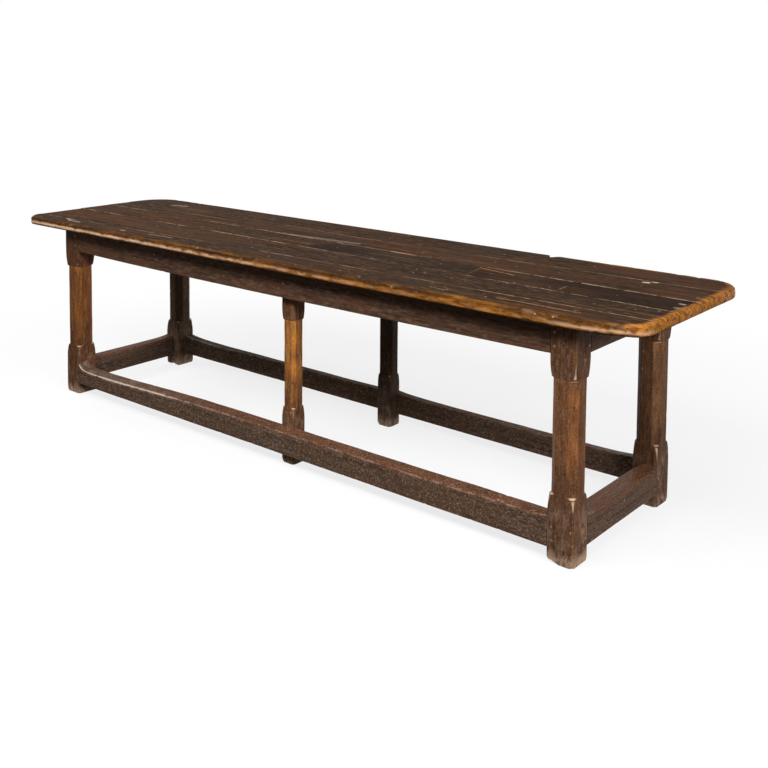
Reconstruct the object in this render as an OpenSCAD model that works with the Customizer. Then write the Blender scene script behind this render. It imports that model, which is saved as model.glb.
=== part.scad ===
// Six-legged oak refectory table with a plank top and low stretchers all round.
// Origin: on the floor under the middle of the leg frame. X runs along the table, Y across it.

/* [Plank top] */
// Length of the top over its nosings
top_length = 2955; // [2700:1:3300]
// Width of the top over its nosings
top_width = 767; // [720:1:860]
// Height of the upper face above the floor
table_height = 760; // [720:1:800]
// Thickness of the planks
top_thickness = 35; // [28:1:42]
// Radius of the front left corner of the top
front_left_corner = 66; // [40:1:150]
// Radius of its front right corner
front_right_corner = 96; // [60:1:180]
// Radius of its back right corner
back_right_corner = 113; // [60:1:180]
// Radius of its back left corner
back_left_corner = 140; // [60:1:180]
// Rounding of the upper edge of the top
nosing_upper = 12; // [4:0.5:16]
// Rounding of the lower edge of the top
nosing_lower = 7; // [3:0.5:12]
// How far the two front planks stop short at the left end
plank_step = 14; // [6:1:20]
// Width of the worn groove along each joint between planks
joint_groove = 2.4; // [1:0.1:4]
// Depth of that groove
groove_depth = 1.2; // [0.5:0.1:3]

/* [Planks, each size at the left end, the middle and the right end] */
// First joint, in front of the centre line of the table
first_joint = [309, 269, 259]; // [240:1:315]
// Width of the second plank
plank_2 = [218, 166, 135]; // [120:1:230]
// Width of the third plank, the one that is pieced out of three lengths
plank_3 = [156, 149, 154]; // [120:1:180]
// Width of the fourth plank
plank_4 = [176, 136, 182]; // [120:1:190]

/* [Repairs in the top] */
// Left splice of the third plank, from its front edge to its back edge
splice_left = [-70, 0]; // [-400:1:300]
// Right splice of the third plank, from its front edge to its back edge
splice_right = [719, 686]; // [600:1:725]
// Start, point and end of the wedge let into the third plank
wedge_at = [741, 890, 951]; // [735:1:1100]
// How far the wedge reaches into the plank
wedge_reach = 64; // [30:1:90]
// Depth of the wedge
wedge_depth = 12; // [6:1:20]
// Start and end of the break in the back edge
edge_break = [745, 825]; // [300:1:1200]
// Depth of the break in the back edge
edge_break_depth = 33; // [6:1:45]

/* [Leg frame] */
// Length over the outer faces of the corner legs
frame_length = 2514; // [2300:1:2640]
// Depth over the outer faces of the corner legs
frame_depth = 640; // [560:1:660]
// Side of the square corner legs
leg = 89; // [76:1:100]
// Sides of the square middle legs, front and back
mid_leg = [61, 65]; // [54:1:72]
// Where they stand along the table, front and back
mid_leg_x = [66, 84]; // [50:1:100]
// How far the front middle leg stands behind the outer face of its rails
mid_set_front = 34; // [26:1:38]
// How far the back middle leg stands inside the outer face of its rails
mid_set_back = 18; // [10:1:26]

/* [Chamfers on the legs] */
// Chamfer along the shaft of a corner leg
shaft_chamfer = 24; // [12:0.5:28]
// Chamfer left at the foot of the ledge of a corner leg
stop_chamfer = 13; // [5:0.5:20]
// Height of the lower ledge
stop_low = 205; // [190:1:240]
// Distance of the upper ledge below the planks
stop_down = 167; // [140:1:200]
// Length of the tongue that runs each chamfer out
stop_tongue = 56; // [30:1:70]
// Chamfer along the shaft of a middle leg
mid_shaft_chamfer = 14.5; // [8:0.5:19]
// Chamfer left at the foot of the ledge of a middle leg
mid_stop_chamfer = 8; // [4:0.5:12]
// Length of the tongues on a middle leg
mid_stop_tongue = 42; // [24:1:60]
// Wear along the edges of the square blocks
leg_arris = 2.5; // [0.5:0.5:4]
// Distance of the upper ledge of a middle leg below the planks
mid_stop_down = 194; // [160:1:220]
// Wear on the four bottom corners of a foot, from the outer corner to the inner one: how far in
foot_wear_in = [12, 9.5, 8.5, 6]; // [2:0.5:16]
// How far up that wear runs
foot_wear_up = 16; // [4:1:24]
// Depth of the split out of the back left foot
foot_split = 22; // [6:1:30]

/* [Aprons] */
// Depth of the aprons at the corner legs
apron_depth = 100; // [80:1:120]
// Thickness of the long aprons
long_apron_t = 40; // [38:1:50]
// Thickness of the end aprons
end_apron_t = 36; // [28:1:50]
// Bow of the front apron's lower edge
front_apron_bow = 8; // [0:0.5:14]
// Bow of the back apron's lower edge
back_apron_bow = 3; // [0:0.5:14]
// How much more the aprons bow on the left than on the right
bow_lean = 0.3; // [0:0.05:0.6]

/* [Stretchers] */
// Underside of the stretchers above the floor
stretcher_bottom = 45; // [30:1:60]
// Upper edge of the stretchers before wear
stretcher_top = 143; // [130:1:156]
// Thickness of the front stretcher
front_stretcher_t = 44; // [40:1:54]
// Thickness of the back stretcher
back_stretcher_t = 38; // [30:1:48]
// Thickness of the left end stretcher
left_stretcher_t = 54; // [40:1:76]
// Thickness of the right end stretcher
right_stretcher_t = 76; // [40:1:82]
// Deepest foot wear on the front stretcher
front_wear = 34; // [4:0.5:40]
// Share of that wear that the whole front stretcher has lost
front_wear_all = 0.12; // [0:0.01:0.2]
// Share of it worn away between its legs
front_wear_span = 0.33; // [0.1:0.01:0.4]
// Share of it scooped out beside the left leg
front_wear_scoop = 0.55; // [0:0.01:0.6]
// Distance of that scoop from the left leg
front_scoop_at = 118; // [0:1:400]
// Reach of that scoop along the stretcher
front_scoop_reach = 470; // [200:1:800]
// Distance in which the wear breaks off at the left leg
front_scoop_break = 14; // [6:1:60]
// Share of the wear that is missing right at that leg
front_scoop_kept = 0.77; // [0:0.01:1]
// Slope that feet have worn across the front stretcher, in degrees
front_wear_slope = 14; // [4:0.5:18]
// Foot wear on the back stretcher
back_wear = 20; // [4:0.5:30]
// Share of that wear that the whole back stretcher has lost
back_wear_all = 0.45; // [0:0.05:0.8]
// Foot wear on the end stretchers
end_wear = 11; // [4:0.5:24]
// Share of that wear that a whole end stretcher has lost
end_wear_all = 0.4; // [0:0.05:0.8]
// Width of the rounding on the inner upper edge of the end stretchers
inner_round_run = 34; // [10:1:40]
// Height of that rounding
inner_round_drop = 20; // [6:1:26]

/* [Mortises, tenons and pegs] */
// Thickness of the tenons
tenon_t = 14; // [8:0.5:18]
// Outer face of a rail to the outer cheek of its tenon
tenon_inset = 12; // [8:0.5:16]
// Wood left between the two tenons inside a corner leg
tenon_apart = 8; // [4:0.5:14]
// Play beyond the end of each tenon
tenon_play = 2; // [1:0.5:4]
// Shoulder above and below the tenons
tenon_shoulder = 10; // [6:0.5:16]
// Wood left over a mortise at the top of a leg
mortise_cover = 19; // [12:0.5:28]
// Diameter of the pegs through the frame joints
peg_d = 10; // [6:0.5:12]
// Distance from a shoulder to its pegs
peg_back = 16; // [12:0.5:22]
// How far the frame pegs stand out of the wood
peg_proud = 1.5; // [0.5:0.5:4]
// Depth of the frame pegs beyond the tenon
peg_beyond = 12; // [8:0.5:18]
// Space round every peg in its hole
peg_play = 0.2; // [0.1:0.05:0.3]
// Diameter of the pegs through the top
top_peg_d = 9; // [6:0.5:12]
// Depth of the top pegs in the frame
top_peg_depth = 32; // [20:1:38]
// Outer faces of the frame to the pegs of the top
top_peg_inset = 18; // [14:0.5:20]
// Heights of the pins of a middle leg above the underside of the apron
apron_pin_up = [24, 45]; // [16:1:70]
// Heights of its pins above the underside of the stretcher
stretcher_pin_up = [34, 62]; // [20:1:70]
// Distance between the two columns of those pins
middle_pin_apart = 23; // [12:1:30]

/* [Cross bearers under the top] */
// Width of the bearers
bearer_w = 48; // [36:1:56]
// Depth of the bearers
bearer_h = 42; // [34:1:60]
// Stub tenons of the bearers
bearer_stub = 12; // [6:1:14]
// Where the left bearer lies
bearer_left_x = -600; // [-800:1:-300]
// Where the right bearer lies
bearer_right_x = 775; // [740:1:900]

/* [Hidden] */
$fn = 64;

// Half sizes and levels that the pieces share
half_l = frame_length / 2;
half_d = frame_depth / 2;
top_l = top_length / 2;
top_w = top_width / 2;
frame_height = table_height - top_thickness;
apron_bottom = frame_height - apron_depth;
shoulder_x = half_l - leg;
shoulder_y = half_d - leg;
tenon_long = leg - tenon_inset - tenon_t - tenon_apart;

// Overrun of cutting shapes, small and large
over = 1;
far = 20;

// Levels of the tenons and of the pegs that pin them
apron_tenon = [apron_bottom + tenon_shoulder, frame_height - mortise_cover];
stretcher_tenon = [stretcher_bottom + tenon_shoulder, stretcher_top - 2 * tenon_shoulder];
function peg_levels(tenon) =
    [tenon[0] + (tenon[1] - tenon[0]) / 5, tenon[1] - (tenon[1] - tenon[0]) / 5];

// Front faces of the middle legs
mid_front_y = -half_d + mid_set_front;
mid_back_y = half_d - mid_set_back - mid_leg[1];

// The middle bearer lies between the two middle legs
bearer_middle_x = (mid_leg_x[0] + mid_leg_x[1]) / 2;

// What the bearers reach between: the long aprons, or the middle legs
apron_span = [long_apron_t - half_d, half_d - long_apron_t];
middle_span = [mid_front_y + mid_leg[0], mid_back_y];

oak_top = [0.24, 0.18, 0.13];
oak_leg = [0.40, 0.25, 0.15];
oak_rail = [0.33, 0.25, 0.20];
oak_patch = [0.16, 0.12, 0.10];
oak_peg = [0.45, 0.32, 0.20];
oak_inner = [0.46, 0.36, 0.26];

// ---------- plank joints ----------

// Front edge of the top, then the joints behind each plank: left end, middle, right end
edge_y = [-top_w, -top_w, -top_w];
joint_1 = -first_joint;
joint_2 = joint_1 + plank_2;
joint_3 = joint_2 + plank_3;
joint_4 = joint_3 + plank_4;
// Y of a joint at a given X
function along(joint, x) =
    x < 0 ? joint[1] + (joint[0] - joint[1]) * (-x / top_l)
          : joint[1] + (joint[2] - joint[1]) * (x / top_l);
function between(near, behind, x) = (along(near, x) + along(behind, x)) / 2;
// X of a splice where it meets a joint
function splice_end(splice, joint, end) = [splice[end], along(joint, splice[end])];

// ---------- the top ----------

// What a rounded corner takes off a square one
module corner_nick(radius) {
    difference() {
        translate([-over, -over]) square(radius + over);
        translate([radius, radius]) circle(radius);
    }
}

// Outline of the top, with its left end at x
module top_outline(x) {
    difference() {
        translate([x, -top_w]) square([top_l - x, top_width]);
        translate([x, -top_w]) corner_nick(front_left_corner);
        translate([top_l, -top_w]) mirror([1, 0]) corner_nick(front_right_corner);
        translate([top_l, top_w]) rotate(180) corner_nick(back_right_corner);
        translate([x, top_w]) mirror([0, 1]) corner_nick(back_left_corner);
    }
}

// Section of the wood that the rounded nosing takes away, with the edge of the top at u = 0
module nosing_waste() {
    difference() {
        translate([-over, -over]) square([nosing_lower + over, nosing_lower + over]);
        translate([nosing_lower, nosing_lower]) circle(nosing_lower);
    }
    difference() {
        translate([-over, top_thickness - nosing_upper]) square([nosing_upper + over, nosing_upper + over]);
        translate([nosing_upper, top_thickness - nosing_upper]) circle(nosing_upper);
    }
}

// Nosing waste along a straight edge from one point to the next, anticlockwise round the top
module nosing_straight(from, to) {
    run = to - from;
    translate([from[0], from[1], 0]) rotate([90, 0, 90 + atan2(run[1], run[0])])
        linear_extrude(norm(run)) nosing_waste();
}

// Nosing waste round a corner with its centre at a point, for the quarter that starts at an angle
module nosing_corner(centre, radius, start) {
    translate([centre[0], centre[1], 0]) rotate([0, 0, start]) rotate_extrude(angle = 90)
        translate([radius, 0]) mirror([1, 0]) nosing_waste();
}

// The whole top before it is parted into planks, with its left end at x
module top_blank(x) {
    fl = front_left_corner;
    fr = front_right_corner;
    br = back_right_corner;
    bl = back_left_corner;
    translate([0, 0, frame_height]) difference() {
        linear_extrude(top_thickness) top_outline(x);
        nosing_straight([x + fl, -top_w], [top_l - fr, -top_w]);
        nosing_straight([top_l, fr - top_w], [top_l, top_w - br]);
        nosing_straight([top_l - br, top_w], [x + bl, top_w]);
        nosing_straight([x, top_w - bl], [x, fl - top_w]);
        nosing_corner([x + fl, fl - top_w], fl, 180);
        nosing_corner([top_l - fr, fr - top_w], fr, 270);
        nosing_corner([top_l - br, top_w - br], br, 0);
        nosing_corner([x + bl, top_w - bl], bl, 90);
    }
}

// Ground plan of a plank that fills the top between two joints
module plank_plan(near, behind) {
    polygon([
        [-top_l - far, near[0]], [0, near[1]], [top_l + far, near[2]],
        [top_l + far, behind[2]], [0, behind[1]], [-top_l - far, behind[0]]
    ]);
}

// Groove worn along a line on the upper face, from one point to another
module groove(from, to) {
    run = to - from;
    translate([from[0], from[1], table_height - groove_depth])
        rotate([0, 0, atan2(run[1], run[0])]) translate([-over, -joint_groove / 2, 0])
            cube([norm(run) + 2 * over, joint_groove, groove_depth + over]);
}

// Groove worn along the whole of a joint between planks
module joint_groove_cut(joint) {
    half = [joint_groove, joint_groove, joint_groove] / 2;
    translate([0, 0, table_height - groove_depth]) linear_extrude(groove_depth + over)
        plank_plan(joint - half, joint + half);
}

module splice_groove(splice) {
    groove(splice_end(splice, joint_2, 0), splice_end(splice, joint_3, 1));
}

module plank(x, near, behind) {
    difference() {
        intersection() {
            top_blank(x);
            translate([0, 0, frame_height - over]) linear_extrude(top_thickness + 2 * over)
                plank_plan(near, behind);
        }
        top_peg_holes();
    }
}

// Ground plan of the part of the top on the right of a splice
module right_of(splice) {
    front = splice_end(splice, joint_2, 0);
    back = splice_end(splice, joint_3, 1);
    polygon([
        front, [front[0], -top_w], [top_l + far, -top_w], [top_l + far, top_w], [back[0], top_w], back
    ]);
}

module right_of_solid(splice) {
    translate([0, 0, frame_height - far]) linear_extrude(top_thickness + 2 * far) right_of(splice);
}

module plank_third() {
    difference() {
        plank(-top_l, joint_2, joint_3);
        joint_groove_cut(joint_2);
        joint_groove_cut(joint_3);
    }
}

// The wedge is a three-cornered piece let in from the back edge of the third plank
// Points of the wedge: start, tip and end
function wedge_point(i) =
    [wedge_at[i], along(joint_3, wedge_at[i]) - (i == 1 ? wedge_reach : 0)];

module wedge_plan() {
    polygon([for (i = [0:2]) wedge_point(i)]);
}

module wedge_solid() {
    translate([0, 0, table_height - wedge_depth]) linear_extrude(wedge_depth) wedge_plan();
}

module wedge_grooves() {
    groove(wedge_point(0), wedge_point(1));
    groove(wedge_point(1), wedge_point(2));
}

module wedge_recess() {
    translate([0, 0, table_height - wedge_depth]) linear_extrude(wedge_depth + over) wedge_plan();
}

module plank_front() {
    color(oak_top) difference() {
        plank(plank_step - top_l, edge_y - [far, far, far], joint_1);
        joint_groove_cut(joint_1);
    }
}

module plank_second() {
    color(oak_top) difference() {
        plank(plank_step - top_l, joint_1, joint_2);
        joint_groove_cut(joint_1);
        joint_groove_cut(joint_2);
    }
}

module plank_third_left() {
    color(oak_top) difference() {
        plank_third();
        right_of_solid(splice_left);
        splice_groove(splice_left);
    }
}

module plank_third_middle() {
    color(oak_patch) difference() {
        intersection() {
            plank_third();
            right_of_solid(splice_left);
        }
        right_of_solid(splice_right);
        splice_groove(splice_left);
        splice_groove(splice_right);
    }
}

module plank_third_right() {
    color(oak_top) difference() {
        intersection() {
            plank_third();
            right_of_solid(splice_right);
        }
        splice_groove(splice_right);
        wedge_recess();
        wedge_grooves();
    }
}

module plank_fourth() {
    color(oak_top) difference() {
        plank(-top_l, joint_3, joint_4);
        joint_groove_cut(joint_3);
        joint_groove_cut(joint_4);
    }
}

module plank_back() {
    color(oak_top) difference() {
        plank(-top_l, joint_4, -edge_y + [far, far, far]);
        joint_groove_cut(joint_4);
        translate([0, 0, frame_height - over]) linear_extrude(top_thickness + 2 * over) polygon([
            [edge_break[0], top_w + over],
            [edge_break[0], top_w - edge_break_depth],
            [edge_break[1], top_w],
            [edge_break[1], top_w + over]
        ]);
    }
}

module top_wedge() {
    color(oak_patch) difference() {
        wedge_solid();
        joint_groove_cut(joint_3);
        wedge_grooves();
    }
}

// ---------- pegs through the top ----------

bearer_xs = [bearer_left_x, bearer_middle_x, bearer_right_x];
end_peg_x = half_l - top_peg_inset;
edge_peg_y = half_d - top_peg_inset;
// One peg in each plank over each end apron and each bearer
top_peg_points = concat(
    [for (x = concat([-end_peg_x, end_peg_x], bearer_xs), y = [-edge_peg_y, edge_peg_y]) [x, y]],
    [for (x = concat([-end_peg_x, end_peg_x], bearer_xs),
          pair = [[joint_1, joint_2], [joint_2, joint_3], [joint_3, joint_4]])
        [x, between(pair[0], pair[1], x)]]
);

module top_peg_cylinders(diameter, above) {
    length = top_thickness + top_peg_depth + above;
    for (point = top_peg_points)
        translate([point[0], point[1], table_height + above - length]) cylinder(d = diameter, h = length);
}

module top_peg_holes() {
    top_peg_cylinders(top_peg_d + 2 * peg_play, over);
}

module pegs_top() {
    color(oak_peg) top_peg_cylinders(top_peg_d, 0);
}

// ---------- legs ----------

// Chamfer depth measured square to the chamfer, for a chamfer of a given leg length
function chamfer_in(size) = size / sqrt(2);

// Tongue that runs out from a ledge to the worn arris of a block: points [depth, height]
function tongue(size, ledge, run) =
    let (arris = chamfer_in(leg_arris), steps = 8)
        [for (i = [0:steps]) let (t = i / steps)
            [arris + (chamfer_in(size) - arris) * pow(1 - t, 2), ledge + run * t]];

// Waste at one vertical edge of a leg: a shaft chamfer with a ledge and a tongue at each end
module stopped_chamfer(size, stop_size, high, run) {
    lower = tongue(stop_size, stop_low, -run);
    profile = concat(
        [[-far, -over], [chamfer_in(leg_arris), -over]],
        [for (i = [len(lower) - 1:-1:0]) lower[i]],
        [[chamfer_in(size), stop_low], [chamfer_in(size), high]],
        tongue(stop_size, high, run),
        [[chamfer_in(leg_arris), frame_height + over], [-far, frame_height + over]]
    );
    rotate([0, 0, 45]) rotate([90, 0, 0]) linear_extrude(4 * size, center = true) polygon(profile);
}

// What wear takes off a bottom corner of a foot, in along its diagonal and up its edge
module worn_foot_corner(side, inward, up) {
    rotate([0, 0, 45]) rotate([90, 0, 0]) linear_extrude(side, center = true) polygon([
        [-far, -far], [inward * (1 + far / up), -far], [-far, up * (1 + far / inward)]
    ]);
}

// A square leg with its outer corner on the origin and all four edges chamfered
module chamfered_leg(side, size, stop_size, down, run) {
    difference() {
        cube([side, side, frame_height]);
        for (x = [0, 1], y = [0, 1])
            translate([x * side, y * side, 0]) mirror([x, 0, 0]) mirror([0, y, 0]) {
                stopped_chamfer(size, stop_size, frame_height - down, run);
                worn_foot_corner(side, foot_wear_in[2 * x + y], foot_wear_up);
            }
    }
}

// Mortise for the tenon of a long rail; the leg's outer corner is on the origin
module long_mortise(level) {
    translate([leg - tenon_long - tenon_play, tenon_inset, level[0]])
        cube([tenon_long + tenon_play + over, tenon_t, level[1] - level[0]]);
}

module end_mortise(level) {
    translate([tenon_inset, leg - tenon_long - tenon_play, level[0]])
        cube([tenon_t, tenon_long + tenon_play + over, level[1] - level[0]]);
}

// The two pegs that pin a long rail's tenon, in the leg's own corner
module long_pegs(level, diameter, proud) {
    for (z = peg_levels(level))
        translate([leg - peg_back, -proud, z]) rotate([-90, 0, 0])
            cylinder(d = diameter, h = proud + tenon_inset + tenon_t + peg_beyond);
}

module end_pegs(level, diameter, proud) {
    for (z = peg_levels(level))
        translate([-proud, leg - peg_back, z]) rotate([0, 90, 0])
            cylinder(d = diameter, h = proud + tenon_inset + tenon_t + peg_beyond);
}

// Puts a piece drawn at the outer corner of a leg on one of the four corners of the frame
module at_corner(sx, sy) {
    translate([sx * half_l, sy * half_d, 0]) mirror([sx > 0 ? 1 : 0, 0, 0]) mirror([0, sy > 0 ? 1 : 0, 0])
        children();
}

// All the peg holes of one corner
module corner_peg_holes() {
    hole = peg_d + 2 * peg_play;
    for (level = [apron_tenon, stretcher_tenon]) {
        long_pegs(level, hole, over);
        end_pegs(level, hole, over);
    }
}

module corner_leg(sx, sy) {
    color(oak_leg) difference() {
        at_corner(sx, sy) difference() {
            chamfered_leg(leg, shaft_chamfer, stop_chamfer, stop_down, stop_tongue);
            for (level = [apron_tenon, stretcher_tenon]) {
                long_mortise(level);
                end_mortise(level);
            }
            corner_peg_holes();
        }
        top_peg_holes();
    }
}

module leg_front_left() corner_leg(-1, -1);
module leg_front_right() corner_leg(1, -1);

// The back left foot has lost a splinter beside its inner front corner
module leg_back_left() {
    color(oak_leg) difference() {
        corner_leg(-1, 1);
        translate([-half_l + leg / 2, shoulder_y, 0]) rotate([0, 0, 45])
            cube([foot_split, foot_split, 2 * foot_split], center = true);
    }
}

module leg_back_right() corner_leg(1, 1);

// Middle legs are lapped over the inner faces of the long rails
module middle_leg_blank(i, y) {
    translate([mid_leg_x[i] - mid_leg[i] / 2, y, 0])
        chamfered_leg(mid_leg[i], mid_shaft_chamfer, mid_stop_chamfer, mid_stop_down, mid_stop_tongue);
}

// Pins on the front side, or on the back side where side is 1
module middle_pins(side, diameter, proud) {
    outer = side * half_d;
    inner = side < 0 ? mid_front_y + mid_leg[0] : mid_back_y;
    start = min(outer, inner) - proud;
    length = abs(outer - inner) + 2 * proud;
    for (i = [0, 1]) {
        x = mid_leg_x[side < 0 ? 0 : 1] + (i - 0.5) * middle_pin_apart;
        for (z = [apron_bottom + apron_pin_up[i], stretcher_bottom + stretcher_pin_up[1 - i]])
            translate([x, start, z]) rotate([-90, 0, 0]) cylinder(d = diameter, h = length);
    }
}

module middle_pin_holes() {
    for (side = [-1, 1])
        middle_pins(side, peg_d + 2 * peg_play, over + peg_proud);
}

module leg_front_middle() {
    color(oak_leg) difference() {
        middle_leg_blank(0, mid_front_y);
        front_apron_body();
        front_stretcher_body();
        middle_pin_holes();
        bearer_stubs(bearer_middle_x, middle_span, tenon_play);
    }
}

module leg_back_middle() {
    color(oak_leg) difference() {
        middle_leg_blank(1, mid_back_y);
        back_apron_body();
        back_stretcher_body();
        middle_pin_holes();
        bearer_stubs(bearer_middle_x, middle_span, tenon_play);
    }
}

// ---------- aprons ----------

// Side view of a long apron, whose lower edge hangs in a bow that is deepest left of the middle
module long_apron_side(bow) {
    steps = 24;
    polygon(concat(
        [for (i = [0:steps]) let (u = i / steps)
            [shoulder_x * (2 * u - 1),
             apron_bottom - bow * (1 - pow(2 * u - 1, 2)) * (1 + bow_lean * (1 - 2 * u))]],
        [[shoulder_x, frame_height], [-shoulder_x, frame_height]]
    ));
}

// Tenons of a long rail, in the corner of each leg that the rail reaches
module long_tenons(sy, level) {
    for (sx = [-1, 1])
        at_corner(sx, sy) translate([leg - tenon_long, tenon_inset, level[0]])
            cube([tenon_long + over, tenon_t, level[1] - level[0]]);
}

module end_tenons(sx, level) {
    for (sy = [-1, 1])
        at_corner(sx, sy) translate([tenon_inset, leg - tenon_long, level[0]])
            cube([tenon_t, tenon_long + over, level[1] - level[0]]);
}

// Rail standing between the corner legs, its outer face flush with theirs
module long_rail_slab(sy, thickness) {
    translate([0, sy < 0 ? -half_d + thickness : half_d, 0]) rotate([90, 0, 0])
        linear_extrude(thickness) children();
}

module front_apron_body() {
    long_rail_slab(-1, long_apron_t) long_apron_side(front_apron_bow);
    long_tenons(-1, apron_tenon);
}

module back_apron_body() {
    long_rail_slab(1, long_apron_t) long_apron_side(back_apron_bow);
    long_tenons(1, apron_tenon);
}

module all_frame_holes() {
    for (sx = [-1, 1], sy = [-1, 1])
        at_corner(sx, sy) corner_peg_holes();
    middle_pin_holes();
    top_peg_holes();
}

module apron_front() {
    color(oak_rail) difference() {
        front_apron_body();
        all_frame_holes();
        for (x = [bearer_left_x, bearer_right_x])
            bearer_stubs(x, apron_span, tenon_play);
    }
}

module apron_back() {
    color(oak_rail) difference() {
        back_apron_body();
        all_frame_holes();
        for (x = [bearer_left_x, bearer_right_x])
            bearer_stubs(x, apron_span, tenon_play);
    }
}

module end_apron(sx) {
    color(oak_rail) difference() {
        union() {
            translate([sx < 0 ? -half_l : half_l - end_apron_t, -shoulder_y, apron_bottom])
                cube([end_apron_t, 2 * shoulder_y, frame_height - apron_bottom]);
            end_tenons(sx, apron_tenon);
        }
        all_frame_holes();
    }
}

module apron_left() end_apron(-1);
module apron_right() end_apron(1);

// ---------- stretchers ----------

// Share of the full wear over a span from 0 to 1, left high close to its two ends
function hollow(u) = 1 - pow(abs(2 * u - 1), 8);

// Depth of the wear on the front stretcher: all over, between the legs, and in a scoop at the left
function front_wear_depth(x) =
    let (from_leg = x + shoulder_x,
         span = front_wear_span * (1 - pow(from_leg / (2 * shoulder_x), 6)),
         scoop = front_wear_scoop * exp(-pow((from_leg - front_scoop_at) / front_scoop_reach, 2)),
         worn = 1 - front_scoop_kept * exp(-from_leg / front_scoop_break))
        front_wear * (front_wear_all + (span + scoop) * worn);

// Depth of the wear on the back stretcher, hollowed on each side of the middle leg
function back_wear_depth(x) =
    let (middle = mid_leg_x[1],
         u = x < middle ? (x + shoulder_x) / (middle + shoulder_x) : (x - middle) / (shoulder_x - middle))
        back_wear * (back_wear_all + (1 - back_wear_all) * hollow(u));

wear_steps = 48;
// Stations along a long stretcher, closer together towards the left leg where that helps
front_stations = [for (i = [0:wear_steps]) shoulder_x * (2 * pow(i / wear_steps, 1.5) - 1)];
back_stations = [for (i = [0:wear_steps]) shoulder_x * (2 * i / wear_steps - 1)];

// What wear takes off the top of a long stretcher, from points [x, down], tipped across it by a slope
module long_wear(points, sy, slope) {
    translate([0, sy * half_d, stretcher_top]) rotate([-sy * slope, 0, 0]) rotate([90, 0, 0])
        linear_extrude(4 * leg, center = true) polygon(concat(
            [for (point = points) [point[0], -point[1]]],
            [[shoulder_x, leg], [-shoulder_x, leg]]
        ));
}

module long_stretcher_side() {
    translate([-shoulder_x, stretcher_bottom]) square([2 * shoulder_x, stretcher_top - stretcher_bottom]);
}

module front_stretcher_body() {
    difference() {
        long_rail_slab(-1, front_stretcher_t) long_stretcher_side();
        long_wear([for (x = front_stations) [x, front_wear_depth(x)]], -1, front_wear_slope);
    }
    long_tenons(-1, stretcher_tenon);
}

module back_stretcher_body() {
    difference() {
        long_rail_slab(1, back_stretcher_t) long_stretcher_side();
        long_wear([for (x = back_stations) [x, back_wear_depth(x)]], 1, 0);
    }
    long_tenons(1, stretcher_tenon);
}

module stretcher_front() {
    color(oak_rail) difference() {
        front_stretcher_body();
        all_frame_holes();
    }
}

module stretcher_back() {
    color(oak_rail) difference() {
        back_stretcher_body();
        all_frame_holes();
    }
}

// Waste above an end stretcher, seen along the table: worn hollow between the legs
module end_hollow() {
    steps = 24;
    polygon(concat(
        [for (i = [0:steps])
            [shoulder_y * (2 * i / steps - 1),
             -end_wear * (end_wear_all + (1 - end_wear_all) * hollow(i / steps))]],
        [[shoulder_y, far], [-shoulder_y, far]]
    ));
}

// Waste along the inner upper edge of an end stretcher, seen across the table from its inner face
module inner_round() {
    steps = 8;
    polygon(concat(
        [for (i = [0:steps]) [inner_round_run * i / steps, -inner_round_drop * pow(1 - i / steps, 2)]],
        [[inner_round_run, over], [-over, over], [-over, -inner_round_drop]]
    ));
}

module end_stretcher(sx, thickness) {
    color(oak_rail) difference() {
        union() {
            translate([sx < 0 ? -half_l : half_l - thickness, -shoulder_y, stretcher_bottom])
                cube([thickness, 2 * shoulder_y, stretcher_top - stretcher_bottom]);
            end_tenons(sx, stretcher_tenon);
        }
        translate([sx * half_l, 0, stretcher_top]) rotate([90, 0, 90])
            linear_extrude(4 * leg, center = true) end_hollow();
        translate([sx * (half_l - thickness), 0, stretcher_top]) mirror([sx < 0 ? 1 : 0, 0, 0])
            rotate([90, 0, 0]) linear_extrude(2 * shoulder_y, center = true) inner_round();
        all_frame_holes();
    }
}

module stretcher_left() end_stretcher(-1, left_stretcher_t);
module stretcher_right() end_stretcher(1, right_stretcher_t);

// ---------- cross bearers ----------

stub_h = bearer_h - 2 * tenon_shoulder;

// Stub tenons beyond both ends of a bearer, or the mortises for them with some play
module bearer_stubs(x, span, play) {
    reach = bearer_stub + play;
    translate([x - tenon_t / 2, span[0] - reach, frame_height - bearer_h + tenon_shoulder])
        cube([tenon_t, span[1] - span[0] + 2 * reach, stub_h]);
}

// A bearer between two faces across the table
module bearer(x, span) {
    color(oak_inner) difference() {
        union() {
            translate([x - bearer_w / 2, span[0], frame_height - bearer_h])
                cube([bearer_w, span[1] - span[0], bearer_h]);
            bearer_stubs(x, span, 0);
        }
        top_peg_holes();
    }
}

module bearer_left() bearer(bearer_left_x, apron_span);
module bearer_right() bearer(bearer_right_x, apron_span);
module bearer_middle() bearer(bearer_middle_x, middle_span);

// ---------- pegs in the frame ----------

module corner_joint_pegs(level) {
    color(oak_peg) for (sx = [-1, 1], sy = [-1, 1])
        at_corner(sx, sy) {
            long_pegs(level, peg_d, peg_proud);
            end_pegs(level, peg_d, peg_proud);
        }
}

module pegs_apron_joints() corner_joint_pegs(apron_tenon);
module pegs_stretcher_joints() corner_joint_pegs(stretcher_tenon);

module pegs_middle_legs() {
    color(oak_peg) for (side = [-1, 1])
        middle_pins(side, peg_d, peg_proud);
}

plank_front();
plank_second();
plank_third_left();
plank_third_middle();
plank_third_right();
plank_fourth();
plank_back();
top_wedge();
leg_front_left();
leg_front_right();
leg_back_left();
leg_back_right();
leg_front_middle();
leg_back_middle();
apron_front();
apron_back();
apron_left();
apron_right();
stretcher_front();
stretcher_back();
stretcher_left();
stretcher_right();
bearer_left();
bearer_middle();
bearer_right();
pegs_apron_joints();
pegs_stretcher_joints();
pegs_middle_legs();
pegs_top();
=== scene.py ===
"""Old oak refectory table: pieced plank top, six stop-chamfered legs and foot-worn stretchers.

Every piece is a fine skin laid over the same lines as the solid part that it stands for. Sizes are in
metres, X runs along the table, Y across it and Z up.
"""

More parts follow.
